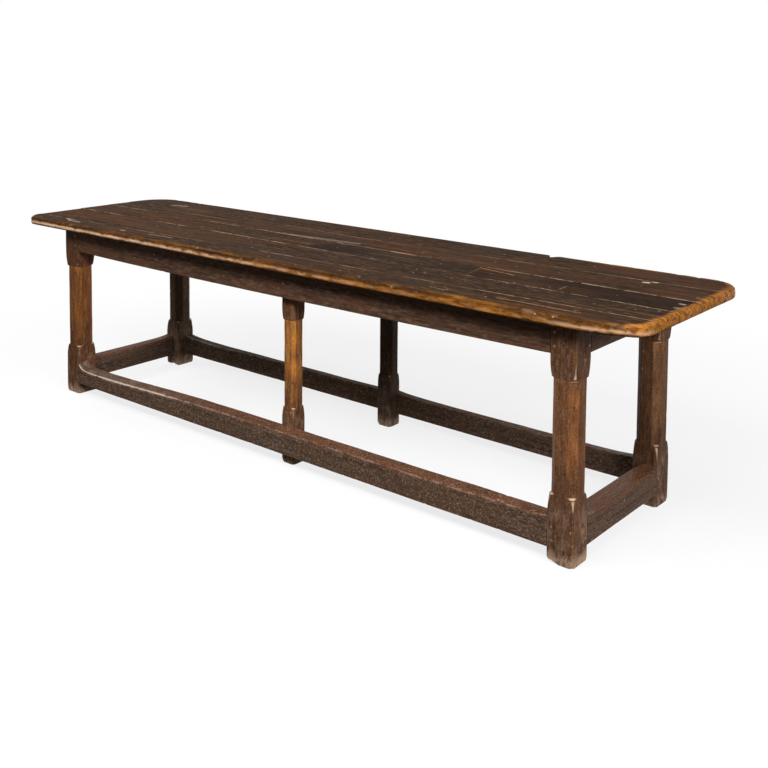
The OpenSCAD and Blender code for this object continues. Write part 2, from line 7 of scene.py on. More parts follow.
import logging
import math
from collections.abc import Callable
from dataclasses import dataclass, replace
from enum import Enum

import bmesh
import bpy
import numpy as np
from mathutils import Matrix, Vector
from mathutils.bvhtree import BVHTree


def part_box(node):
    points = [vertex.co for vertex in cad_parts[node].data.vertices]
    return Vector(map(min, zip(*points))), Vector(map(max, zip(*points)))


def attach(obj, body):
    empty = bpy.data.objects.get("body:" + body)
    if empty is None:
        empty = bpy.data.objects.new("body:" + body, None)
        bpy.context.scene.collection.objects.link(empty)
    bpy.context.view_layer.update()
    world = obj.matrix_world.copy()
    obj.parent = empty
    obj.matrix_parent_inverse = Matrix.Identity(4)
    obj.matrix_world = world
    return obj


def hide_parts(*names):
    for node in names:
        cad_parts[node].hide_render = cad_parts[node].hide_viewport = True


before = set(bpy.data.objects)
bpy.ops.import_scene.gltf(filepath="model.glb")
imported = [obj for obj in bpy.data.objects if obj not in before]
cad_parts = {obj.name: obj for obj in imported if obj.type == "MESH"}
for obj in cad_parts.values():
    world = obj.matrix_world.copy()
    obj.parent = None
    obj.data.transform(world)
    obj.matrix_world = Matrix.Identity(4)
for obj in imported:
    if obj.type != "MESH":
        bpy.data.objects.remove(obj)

LOG = logging.getLogger("refectory_table")
BODY = "root"
TABLE_HEIGHT = 0.760
FRAME_HEIGHT = 0.725
HALF_LENGTH = 1.4775
HALF_WIDTH = 0.3835
HALF_FRAME = 1.257
HALF_DEPTH = 0.320
LEG = 0.089
SHOULDER_X = HALF_FRAME - LEG
SHOULDER_Y = HALF_DEPTH - LEG

# X of the left corner, the point and the right corner of the wedge in the top.
WEDGE_AT = (0.741, 0.890, 0.951)

Colour = tuple[int, int, int]
Pair = tuple[float, float]
Size = tuple[float, float, float]
Four = tuple[float, float, float, float]
Line = Callable[[np.ndarray], np.ndarray]
Socket = bpy.types.NodeSocket


# ---------- helpers ----------


class Noise:
    """Smooth repeatable value noise for whole arrays of points."""

    SIZE = 4096
    PRIMES = (73856093, 19349663, 83492791)

    def __init__(self, seed: int) -> None:
        """Fills the table of values, from a seed that picks the pattern."""
        self.values = np.random.default_rng(seed).random(self.SIZE)

    def _layer(self, points: np.ndarray) -> np.ndarray:
        """Samples the noise with cells of size 1.

        Args:
            points: Places to sample, with X, Y and Z last.

        Returns:
            Values from 0 to 1.
        """
        cell = np.floor(points).astype(np.int64)
        part = points - cell
        part = part * part * (3 - 2 * part)
        total = np.zeros(points.shape[:-1])
        for corner in np.ndindex(2, 2, 2):
            share = np.ones(points.shape[:-1])
            for axis, upper in enumerate(corner):
                share = share * (part[..., axis] if upper else 1 - part[..., axis])
            x, y, z = np.moveaxis((cell + np.array(corner)) * self.PRIMES, -1, 0)
            total += share * self.values[(x ^ y ^ z) & (self.SIZE - 1)]
        return total

    def layers(self, points: np.ndarray, size: Size, count: int = 3) -> np.ndarray:
        """Adds up layers of noise, each half the size and half the strength of the one before.

        Args:
            points: Places to sample.
            size: Cell size of the first layer.
            count: Number of layers.

        Returns:
            Values from 0 to 1.
        """
        total = np.zeros(points.shape[:-1])
        for layer in range(count):
            cell = np.array(size) / 2**layer
            total += self._layer((points + 7.7 * layer) / cell) / 2 ** (layer + 1)
        return total / (1 - 0.5**count)


def smooth_step(value: np.ndarray, low: float, high: float) -> np.ndarray:
    """Returns a soft step from 0 at low to 1 at high."""
    part = np.clip((value - low) / (high - low), 0, 1)
    return part * part * (3 - 2 * part)


def rounding(inset: np.ndarray, radius: np.ndarray | float) -> np.ndarray:
    """Returns how far a quarter-round drops below a face, at a distance inside the rounded edge."""
    short = np.clip(radius - inset, 0, radius)
    return radius - np.sqrt(np.maximum(radius**2 - short**2, 0))


def stations(start: float, end: float, pitch: float, fine: tuple[float, ...] = (),
             extra: tuple[float, ...] = ()) -> np.ndarray:
    """Lays out stations along a piece.

    Args:
        start: First station.
        end: Last station.
        pitch: Distance between stations.
        fine: Distances from both ends at which stations are added.
        extra: More places for a station.

    Returns:
        The stations in order.
    """
    inner = max(fine, default=0.0)
    count = max(int(round((end - start - 2 * inner) / pitch)), 2)
    places = [*np.linspace(start + inner, end - inner, count + 1)]
    for step in (0.0, *fine):
        places += [start + step, end - step]
    places += [place for place in extra if start < place < end]
    places = np.unique(np.round(places, 6))
    return places[np.append(True, np.diff(places) > 1e-4)]


def between(start: np.ndarray, end: np.ndarray, count: int) -> list[np.ndarray]:
    """Returns places between two ends, in order, evenly laid out and without the ends."""
    shares = [step / (count + 1) for step in range(1, count + 1)]
    return [start * (1 - share) + end * share for share in shares]


class Probe:
    """Measures solid parts or pieces with upright lines."""

    def __init__(self, *sources: bpy.types.Object) -> None:
        """Reads the meshes.

        Args:
            *sources: Objects whose surfaces it measures.
        """
        points: list[Vector] = []
        faces: list[tuple[int, ...]] = []
        for source in sources:
            start = len(points)
            points += [vertex.co.copy() for vertex in source.data.vertices]
            faces += [tuple(start + i for i in face.vertices) for face in source.data.polygons]
        self.tree = BVHTree.FromPolygons(points, faces)

    def level(self, x: float, y: float, upper: bool, miss: float) -> float:
        """Measures the height of the upper or the lower face.

        Args:
            x: Place along the table.
            y: Place across the table.
            upper: Whether the upper face is measured.
            miss: Height to return where nothing is hit.

        Returns:
            The height in metres.
        """
        start = 1.0 if upper else -1.0
        hit = self.tree.ray_cast(Vector((x, y, start)), Vector((0, 0, -start)))[0]
        return hit.z if hit else miss


class Skin:
    """A closed skin made of rings of points, one ring for each station along a piece."""

    def __init__(self, rings: np.ndarray, noise: Noise | None = None) -> None:
        """Keeps the rings.

        Args:
            rings: Points as stations by around by 3.
            noise: Pattern of the wear.
        """
        self.rings = rings
        self.unworn = rings
        self.noise = noise
        self.shades: dict[str, np.ndarray] = {}

    def pattern(self, size: Size, count: int = 3, shift: float = 0.0) -> np.ndarray:
        """Returns layers of noise at each point, where it lay before wear."""
        return self.noise.layers(self.unworn + shift, size, count)

    def normals(self) -> np.ndarray:
        """Works out the outward directions.

        Returns:
            The direction at each point.
        """
        along = np.gradient(self.rings, axis=0)
        around = np.roll(self.rings, -1, axis=1) - np.roll(self.rings, 1, axis=1)
        normal = np.cross(around, along)
        normal /= np.maximum(np.linalg.norm(normal, axis=2, keepdims=True), 1e-12)
        outward = self.rings - self.rings.mean(axis=1, keepdims=True)
        return -normal if (normal * outward).sum() < 0 else normal

    def sink(self, depth: np.ndarray) -> None:
        """Moves the points inwards by a depth at each point."""
        self.rings = self.rings - self.normals() * depth[..., None]

    def keep_inside(self, node: str) -> None:
        """Holds the points inside the box of a solid part."""
        low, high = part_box(node)
        self.rings = np.clip(self.rings, np.array(low), np.array(high))

    def shade(self, name: str, values: np.ndarray | float) -> None:
        """Stores a value at each point for the finish to use."""
        self.shades[name] = np.broadcast_to(values, self.rings.shape[:2]).astype(np.float32)

    def faces(self, start: int = 0) -> list[list[int]]:
        """Lists the faces, all turned outwards.

        Args:
            start: Number of the first point.

        Returns:
            The faces as lists of point numbers.
        """
        count, around = self.rings.shape[:2]
        index = np.arange(count * around).reshape(count, around)
        ahead = np.roll(index, -1, axis=1)
        quads = np.stack([index[:-1], ahead[:-1], ahead[1:], index[1:]], axis=-1).reshape(-1, 4)
        points = self.rings.reshape(-1, 3)
        a, b, c, d = (points[quads[:, k]] for k in range(4))
        volume = np.einsum("ij,ij->i", a, np.cross(b, c) + np.cross(c, d)).sum()
        faces = (quads + start).tolist()
        faces += [(index[0][::-1] + start).tolist(), (index[-1] + start).tolist()]
        return faces if volume > 0 else [face[::-1] for face in faces]


def build_object(name: str, skins: list[Skin], sharp: float) -> bpy.types.Object:
    """Makes one object out of skins.

    Args:
        name: Name of the piece.
        skins: Its skins, all with the same shades.
        sharp: Angle in degrees over which an edge stays crisp.

    Returns:
        The new object, linked to the scene.
    """
    points: list[list[float]] = []
    faces: list[list[int]] = []
    for skin in skins:
        faces += skin.faces(len(points))
        points += skin.rings.reshape(-1, 3).tolist()
    mesh = bpy.data.meshes.new(name)
    mesh.from_pydata(points, [], faces)
    mesh.shade_smooth()
    mesh.set_sharp_from_angle(angle=math.radians(sharp))
    for shade in skins[0].shades:
        values = np.concatenate([skin.shades[shade].ravel() for skin in skins])
        mesh.attributes.new(shade, "FLOAT", "POINT").data.foreach_set("value", values)
    made = bpy.data.objects.new(name, mesh)
    bpy.context.scene.collection.objects.link(made)
    return made


def install(piece: bpy.types.Object, node: str, finish: "Oak") -> None:
    """Dresses a piece and puts it in the place of its solid part.

    Args:
        piece: The piece.
        node: Solid part that it stands for.
        finish: Its finish.
    """
    piece.data.materials.append(finish.build())
    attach(piece, BODY)
    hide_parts(node)
    LOG.info("%s: %d points, %d faces", piece.name, len(piece.data.vertices), len(piece.data.polygons))


# ---------- finishes ----------


class Grain(Enum):
    """Direction of the grain, as the turn that brings it onto X."""

    ALONG = (0.0, 0.0, 0.0)
    ACROSS = (0.0, 0.0, math.pi / 2)
    UPRIGHT = (0.0, math.pi / 2, 0.0)


def linear(colour: Colour) -> Four:
    """Turns a screen colour of 0 to 255 into the linear colour that shaders use."""
    parts = [value / 255 for value in colour]
    return (*(v / 12.92 if v < 0.04045 else ((v + 0.055) / 1.055) ** 2.4 for v in parts), 1.0)


@dataclass(frozen=True)
class Mark:
    """A scratch, stain or bruise on the top, drawn between two points."""

    start: Pair
    end: Pair
    width: float
    colour: Colour
    strength: float = 0.8


class Graph:
    """Short names for wiring up a material."""

    def __init__(self, tree: bpy.types.NodeTree) -> None:
        """Empties the tree that it will fill."""
        self.tree = tree
        tree.nodes.clear()

    def node(self, kind: str, inputs: dict | None = None, **settings: object) -> bpy.types.Node:
        """Adds a node.

        Args:
            kind: Type of the node without its ShaderNode prefix.
            inputs: Values or sockets for its inputs, by name or number.
            **settings: Properties of the node.

        Returns:
            The new node.
        """
        made = self.tree.nodes.new("ShaderNode" + kind)
        for name, value in settings.items():
            setattr(made, name, value)
        for key, value in (inputs or {}).items():
            if isinstance(value, Socket):
                self.tree.links.new(value, made.inputs[key])
            else:
                made.inputs[key].default_value = value
        return made

    def math(self, operation: str, a: Socket | float, b: Socket | float = 0.0, clamp: bool = False) -> Socket:
        """Adds a sum of two values and returns its result."""
        return self.node("Math", {0: a, 1: b}, operation=operation, use_clamp=clamp).outputs[0]

    def vector(self, operation: str, a: Socket | Size, b: Socket | Size, output: str = "Vector") -> Socket:
        """Adds a sum of two vectors and returns its result."""
        return self.node("VectorMath", {0: a, 1: b}, operation=operation).outputs[output]

    def plus(self, a: Socket | float, b: Socket | float) -> Socket:
        """Adds two values."""
        return self.math("ADD", a, b)

    def times(self, first: Socket | float, *others: Socket | float) -> Socket | float:
        """Multiplies values.

        Args:
            first: First value.
            *others: The values that it is multiplied by, in order.

        Returns:
            The product.
        """
        for value in others:
            first = self.math("MULTIPLY", first, value)
        return first

    def noise(self, vector: Socket, scale: Size, detail: float = 3.0, rough: float = 0.55,
              bend: float = 0.0) -> Socket:
        """Adds noise.

        Args:
            vector: Place in the wood.
            scale: Cells in a metre along each axis.
            detail: Number of finer layers.
            rough: Strength of the finer layers.
            bend: Distortion.

        Returns:
            A socket with values round 0.5.
        """
        inputs = {"Vector": self.vector("MULTIPLY", vector, scale), "Scale": 1.0, "Detail": detail,
                  "Roughness": rough, "Distortion": bend}
        return self.node("TexNoise", inputs).outputs[0]

    def window(self, value: Socket, low: float, high: float) -> Socket:
        """Returns a soft step from 0 at low to 1 at high."""
        inputs = {"Value": value, "From Min": low, "From Max": high}
        return self.node("MapRange", inputs, interpolation_type="SMOOTHSTEP").outputs[0]

    def mix(self, factor: Socket | float, a: Socket | tuple, b: Socket | tuple) -> Socket:
        """Mixes two colours."""
        return self.node("Mix", {0: factor, 6: a, 7: b}, data_type="RGBA").outputs[2]


@dataclass(frozen=True)
class Oak:
    """Oak with an old waxed surface, darkened by handling and worn bright where it wears; its pale colour
    also paints highlights.
    """

    name: str
    dark: Colour
    middle: Colour
    light: Colour
    red: Colour
    worn: Colour
    worn_light: Colour
    # Pale wood where knocked or scraped; the same colour paints highlights on edges and ledges.
    bare_and_highlight: Colour = (168, 126, 86)
    grain: Grain = Grain.ALONG
    streaks: float = 60.0
    mottle: Size = (26.0, 85.0, 85.0)
    lines: float = 0.0
    specks: float = 0.5
    grit: float = 0.0
    roughness: float = 0.48
    gloss: float = 0.4
    relief: float = 0.0010
    seed: int = 0
    marks: tuple[Mark, ...] = ()

    def build(self) -> bpy.types.Material:
        """Makes the material.

        Returns:
            The material.
        """
        material = bpy.data.materials.new(f"{self.name}_{self.seed}")
        material.use_nodes = True
        OakGraph(material.node_tree, self).build()
        return material


class OakGraph(Graph):
    """The graph of one oak finish, laid over its colour step by step.

    A skin carries two values: worn, where the surface has worn through to warm wood, and a pale value,
    for wood knocked or scraped pale and for highlights painted on edges and ledges. In the wood the grain
    runs along X, the fibres are fine, the patches hand-sized and the pores open.
    """

    SCORED = (178, 140, 110)
    SHAKEN = (22, 17, 14)
    GRITTY = (172, 150, 132)
    CHIPPED = (206, 178, 146)
    DENTED = (24, 17, 13)

    def __init__(self, tree: bpy.types.NodeTree, oak: Oak) -> None:
        """Lays out the patterns that the steps share.

        Args:
            tree: Tree of the material.
            oak: The finish.
        """
        super().__init__(tree)
        self.oak = oak
        self.colour: Socket | tuple = linear(oak.dark)
        self.place = self.node("TexCoord").outputs["Object"]
        shift = (0.371 * oak.seed, 0.733 * oak.seed % 5.1, 0.517 * oak.seed % 3.7)
        turn = {"Vector": self.place, "Rotation": oak.grain.value, "Location": shift}
        self.wood = self.node("Mapping", turn).outputs[0]
        self.fibre = self.noise(self.wood, (14, oak.streaks * 7, oak.streaks * 7), 4, 0.65)
        self.patch = self.noise(self.wood, (3.2, 11, 11), 4, 0.6, 0.4)
        self.pore = self.spots((130, 2300, 2300), 2, 0.5, 0.60, 0.72)
        self.worn, self.bare_and_highlight = (self.node("Attribute", attribute_name=name).outputs["Fac"]
                                for name in ("worn", "bare_and_highlight"))

    def spots(self, scale: Size, detail: float, rough: float, low: float, high: float) -> Socket:
        """Returns a soft step in a noise in the wood."""
        return self.window(self.noise(self.wood, scale, detail, rough), low, high)

    def paint(self, colour: Colour, *shares: Socket | float) -> None:
        """Lays a screen colour over the wood, as strongly as the product of its shares."""
        self.colour = self.mix(self.times(*shares), self.colour, linear(colour))

    def build(self) -> None:
        """Takes all the steps in order."""
        self._figure()
        cover = self._wear()
        if self.oak.lines:
            self._scores()
        if self.oak.marks:
            flat = self.vector("MULTIPLY", self.place, (1, 1, 0))
            for mark in self.oak.marks:
                self._mark(flat, mark)
        self._knocks()
        self._surface(cover)

    def _figure(self) -> None:
        """Lays out the grain."""
        oak, wood, across = self.oak, self.wood, self.oak.streaks
        broad = self.noise(wood, (3.0, across, across), 6, 0.68, 0.4)
        cloud = self.noise(wood, (1.3, 4.0, 4.0), 4, 0.6)
        drift = self.noise(wood, (1.1, 5.0, 5.0), 2, 0.5)
        axis = self.node("SeparateXYZ", {0: wood}).outputs
        depth = self.plus(axis[1], self.times(axis[2], 0.62))
        ring = self.plus(self.times(depth, across * 1.7), self.times(drift, 9.0))
        inputs = {"W": ring, "Scale": 1.0, "Detail": 3.0, "Roughness": 0.6}
        figure = self.node("TexNoise", inputs, noise_dimensions="1D").outputs[0]
        mottle = self.noise(wood, oak.mottle, 5, 0.72, 0.3)
        blend = self.plus(self.times(broad, 0.40), self.times(figure, 0.22))
        blend = self.plus(blend, self.times(mottle, 0.38))
        self.paint(oak.middle, self.window(blend, 0.38, 0.60))
        self.paint(oak.light, self.window(mottle, 0.50, 0.70), self.window(self.patch, 0.34, 0.62), 0.70)
        self.paint(oak.red, self.window(cloud, 0.44, 0.64), self.window(broad, 0.36, 0.60), 0.8)
        fibres = self.times(self.window(self.fibre, 0.46, 0.30), 0.5)
        self.paint(oak.dark, self.plus(fibres, self.times(self.pore, 0.35)))

    def _wear(self) -> Socket:
        """Rubs the surface through to warm wood.

        Returns:
            How much of the surface is worn through.
        """
        oak, unworn = self.oak, self.colour
        tone = self.noise(self.wood, (9, 64, 64), 5, 0.7, 0.4)
        self.colour = linear(oak.worn)
        self.paint(oak.worn_light, self.window(tone, 0.36, 0.66))
        self.paint(oak.dark, self.window(self.fibre, 0.52, 0.34), 0.40)
        self.paint(oak.dark, self.spots((90, 260, 260), 3, 0.7, 0.54, 0.68), 0.55)
        ragged = self.math("SUBTRACT", self.noise(self.wood, (12, 70, 70), 5, 0.75), 0.5)
        cover = self.window(self.plus(self.worn, self.times(ragged, 1.1)), 0.02, 1.0)
        self.colour = self.mix(cover, unworn, self.colour)
        return cover

    def _scores(self) -> None:
        """Adds long pale scores and dark shakes that run with the grain."""
        score = self.spots((1.5, 95, 95), 1, 0.4, 0.66, 0.76)
        unworn = self.window(self.worn, 0.30, 0.08)
        self.paint(self.SCORED, score, self.window(self.patch, 0.40, 0.56), self.oak.lines, unworn)
        self.paint(self.SHAKEN, self.spots((0.9, 75, 75), 1, 0.4, 0.68, 0.76), 0.6)

    def _mark(self, flat: Socket, mark: Mark) -> None:
        """Draws a mark of the top.

        Args:
            flat: Place on the top, with its height taken out.
            mark: The mark.
        """
        run = (mark.end[0] - mark.start[0], mark.end[1] - mark.start[1], 0.0)
        offset = self.vector("SUBTRACT", flat, (*mark.start, 0.0))
        dot = self.vector("DOT_PRODUCT", offset, run, "Value")
        share = self.math("DIVIDE", dot, run[0] ** 2 + run[1] ** 2, clamp=True)
        foot = self.node("VectorMath", {0: run, "Scale": share}, operation="SCALE").outputs[0]
        near = self.window(self.vector("DISTANCE", offset, foot, "Value"), mark.width, mark.width * 0.3)
        patchy = self.window(self.noise(flat, (90, 150, 1)), 0.34, 0.52)
        self.paint(mark.colour, near, patchy, mark.strength)

    def _knocks(self) -> None:
        """Adds scraped places and painted highlights, grit, pale chips and dark dents."""
        oak = self.oak
        ragged = self.plus(self.noise(self.wood, (26, 60, 60), 4, 0.7), self.times(self.bare_and_highlight, 0.20))
        self.paint(oak.bare_and_highlight, self.bare_and_highlight, self.window(ragged, 0.44, 0.62))
        if oak.grit:
            fine = self.noise(self.wood, (170, 240, 240), 3, 0.75)
            self.paint(self.GRITTY, self.window(fine, 0.54, 0.66), oak.grit)
            self.paint(oak.dark, self.window(fine, 0.46, 0.36), oak.grit)
        scaled = self.vector("MULTIPLY", self.wood, (34, 60, 60))
        cells = self.node("TexVoronoi", {"Vector": scaled, "Scale": 1.0}).outputs
        lot = self.node("SeparateColor", {0: cells["Color"]}).outputs
        dot = self.window(cells["Distance"], 0.22, 0.10)
        self.paint(self.CHIPPED, dot, self.window(lot[0], 0.90, 0.97), oak.specks)
        self.paint(self.DENTED, dot, self.window(lot[1], 0.86, 0.95), 0.7)

    def _surface(self, cover: Socket) -> None:
        """Finishes the graph with its shader.

        Args:
            cover: How much of the surface is worn through.
        """
        oak = self.oak
        rough = self.plus(oak.roughness - 0.12, self.times(self.patch, 0.30))
        rough = self.math("SUBTRACT", rough, self.times(cover, 0.12), clamp=True)
        height = self.plus(self.times(self.fibre, 0.55), self.times(self.patch, 0.8))
        height = self.math("SUBTRACT", height, self.times(self.pore, 0.35))
        bump = self.node("Bump", {"Strength": 0.9, "Distance": oak.relief, "Height": height}).outputs[0]
        shader = self.node("BsdfPrincipled", {
            "Base Color": self.colour, "Roughness": rough, "Normal": bump, "Specular IOR Level": oak.gloss,
        }).outputs[0]
        self.node("OutputMaterial", {"Surface": shader})


# Its pale colour paints knocks and seams, and the painted highlight along the front edge.
TOP_OAK = Oak(
    name="top_oak", dark=(18, 11, 5), middle=(63, 43, 28), light=(116, 88, 64), red=(80, 48, 25),
    worn=(104, 62, 24), worn_light=(190, 122, 46), bare_and_highlight=(238, 196, 160), streaks=62.0,
    mottle=(26.0, 120.0, 120.0), lines=0.25, roughness=0.56, gloss=0.012,
)
PATCH_OAK = replace(
    TOP_OAK, name="patch_oak", dark=(17, 10, 6), middle=(56, 40, 27), light=(98, 76, 58), red=(66, 44, 26),
    lines=0.3,
)
WEDGE_OAK = replace(TOP_OAK, name="wedge_oak", middle=(66, 44, 27), red=(80, 50, 27))
SHADED_OAK = replace(TOP_OAK, name="shaded_oak", dark=(10, 6, 2), middle=(35, 22, 12), light=(72, 50, 34))
# Its pale colour paints worn feet and blocks, and the painted highlights on the ledges.
LEG_OAK = Oak(
    name="leg_oak", dark=(58, 37, 25), middle=(104, 72, 52), light=(132, 100, 78), red=(112, 68, 42),
    worn=(120, 73, 41), worn_light=(170, 110, 61), bare_and_highlight=(222, 188, 158), grain=Grain.UPRIGHT,
    streaks=130.0, grit=0.25, roughness=0.46, gloss=0.02,
)
AMBER_OAK = replace(LEG_OAK, middle=(98, 62, 38), worn=(122, 72, 34), worn_light=(170, 106, 48))
WARM_OAK = replace(LEG_OAK, middle=(110, 75, 50), worn=(180, 108, 46), worn_light=(228, 154, 72))
DULL_OAK = replace(
    LEG_OAK, dark=(48, 37, 30), middle=(96, 76, 62), light=(130, 110, 94), red=(92, 66, 48),
    worn=(84, 62, 46), worn_light=(112, 86, 66),
)
# A paler copy of the dull finish for the back-left leg: painted light, standing in for light that falls on
# that leg.
LIT_GREY_OAK = replace(
    DULL_OAK, dark=(70, 55, 45), middle=(128, 104, 86), light=(160, 138, 120), worn=(112, 86, 66),
    worn_light=(142, 112, 90),
)
DIM_OAK = replace(
    LEG_OAK, dark=(54, 35, 24), middle=(108, 76, 54), worn=(118, 80, 52), worn_light=(160, 114, 78),
)
APRON_OAK = Oak(
    name="apron_oak", dark=(56, 40, 31), middle=(96, 71, 56), light=(128, 104, 86), red=(102, 68, 48),
    worn=(104, 72, 48), worn_light=(140, 104, 74), streaks=120.0, roughness=0.50, gloss=0.02,
)
# Its pale colour paints the painted highlight along the front top arris, which is also worn.
STRETCHER_OAK = Oak(
    name="stretcher_oak", dark=(62, 46, 36), middle=(100, 79, 66), light=(136, 115, 100), red=(98, 70, 52),
    worn=(86, 51, 32), worn_light=(118, 74, 48), bare_and_highlight=(226, 206, 188), streaks=70.0, grit=0.6,
    mottle=(60.0, 120.0, 120.0), roughness=0.46, gloss=0.02,
)
BEARER_OAK = replace(APRON_OAK, name="bearer_oak")
PEG_OAK = Oak(
    name="peg_oak", dark=(38, 28, 22), middle=(70, 54, 42), light=(118, 98, 80), red=(86, 60, 42),
    worn=(100, 72, 48), worn_light=(136, 106, 78), streaks=240.0, mottle=(90.0, 300.0, 300.0),
    roughness=0.5,
)


class Piece:
    """A piece of wood in the place of one solid part, with a slot and a finish."""

    FORM = "board"
    CREASE = 48.0
    node: str
    slot: str
    finish: Oak

    def _skins(self, seed: int) -> list[Skin]:
        """Builds the skins of the piece, each with its shades."""
        raise NotImplementedError

    def make(self, seed: int) -> bpy.types.Object:
        """Builds the piece and dresses it.

        Args:
            seed: Number that picks the pattern of its wear and grain.

        Returns:
            The piece.
        """
        piece = build_object(f"{self.node}_{self.FORM}", self._skins(seed), self.CREASE)
        install(piece, self.node, replace(self.finish, seed=seed))
        return piece


def make_all(pieces: list[Piece], seed: int, step: int) -> list[bpy.types.Object]:
    """Makes pieces in order, each from a seed one step on from the one before."""
    return [piece.make(seed + step * number) for number, piece in enumerate(pieces)]


# ---------- the top ----------


@dataclass(frozen=True)
class Joint:
    """Line where two planks meet, by its Y at the left end, the middle and the right end."""

    left: float
    middle: float
    right: float

    def y(self, x: np.ndarray) -> np.ndarray:
        """Returns Y at X."""
        return np.interp(x, (-HALF_LENGTH, 0.0, HALF_LENGTH), (self.left, self.middle, self.right))


@dataclass(frozen=True)
class Outline:
    """Outline of the top: a radius at each corner, and a break in its back edge.

    The front edge draws in slowly before its right corner, on the sweep, and then turns round the tip.
    """

    left: float = -HALF_LENGTH
    front_left: float = 0.066
    tip: float = 0.063
    sweep: float = 0.470
    sweep_turn: float = math.pi / 8
    back_right: float = 0.113
    back_left: float = 0.140
    break_at: Size = (0.747, 0.775, 0.802)
    break_depth: float = 0.042

    @property
    def tip_centre(self) -> Pair:
        """Returns the centre of the tip."""
        reach = (self.sweep - self.tip) * math.cos(self.sweep_turn)
        return HALF_LENGTH - self.tip, self.sweep - HALF_WIDTH - reach

    @property
    def sweep_centre(self) -> Pair:
        """Returns the centre of the sweep."""
        reach = (self.sweep - self.tip) * math.sin(self.sweep_turn)
        return HALF_LENGTH - self.tip - reach, self.sweep - HALF_WIDTH

    def front(self, x: np.ndarray) -> np.ndarray:
        """Follows the front edge.

        Args:
            x: Places along the table.

        Returns:
            Y of the edge at each place.
        """
        edge = -HALF_WIDTH + rounding(x - self.left, self.front_left)
        tip_from = self.tip_centre[0] + self.tip * math.sin(self.sweep_turn)
        for centre, radius, start in ((self.sweep_centre, self.sweep, self.sweep_centre[0]),
                                      (self.tip_centre, self.tip, tip_from)):
            away = np.clip(x - centre[0], 0, radius)
            edge = np.where(x > start, centre[1] - np.sqrt(radius**2 - away**2), edge)
        return edge

    def back(self, x: np.ndarray) -> np.ndarray:
        """Follows the back edge.

        Args:
            x: Places along the table.

        Returns:
            Y of the edge at each place.
        """
        broken = np.interp(x, self.break_at, (0.0, self.break_depth, 0.0))
        cut = rounding(x - self.left, self.back_left) + rounding(HALF_LENGTH - x, self.back_right)
        return HALF_WIDTH - np.maximum(cut, broken)

    def inset(self, x: np.ndarray, y: np.ndarray) -> np.ndarray:
        """Measures how far places lie inside the edge of the top.

        Args:
            x: Places along the table.
            y: Places across the table.

        Returns:
            The distance to the edge, 0 outside it.
        """
        sides = {"left": x - self.left, "right": HALF_LENGTH - x,
                 "front": y + HALF_WIDTH, "back": HALF_WIDTH - y}
        inset = np.minimum.reduce(list(sides.values()))
        for centre, radius, start in ((self.sweep_centre, self.sweep, 0.0), (self.tip_centre, self.tip, 1.0)):
            right, down = x - centre[0], centre[1] - y
            turned = np.arctan2(right, down) - start * self.sweep_turn
            on_arc = (turned > 0) & (right > 0) & (down > -1e-9 if start else turned < self.sweep_turn)
            inset = np.where(on_arc, radius - np.hypot(right, down), inset)
        for corner in ("front_left", "back_right", "back_left"):
            radius = getattr(self, corner)
            across, along = (radius - sides[side] for side in corner.split("_"))
            rounded = radius - np.hypot(np.maximum(across, 0), np.maximum(along, 0))
            inset = np.where((across > 0) & (along > 0), rounded, inset)
        return np.maximum(inset, 0)


@dataclass(frozen=True)
class Chip:
    """A place where the edge of the top has been knocked off."""

    x: float
    y: float
    reach: float
    depth: float


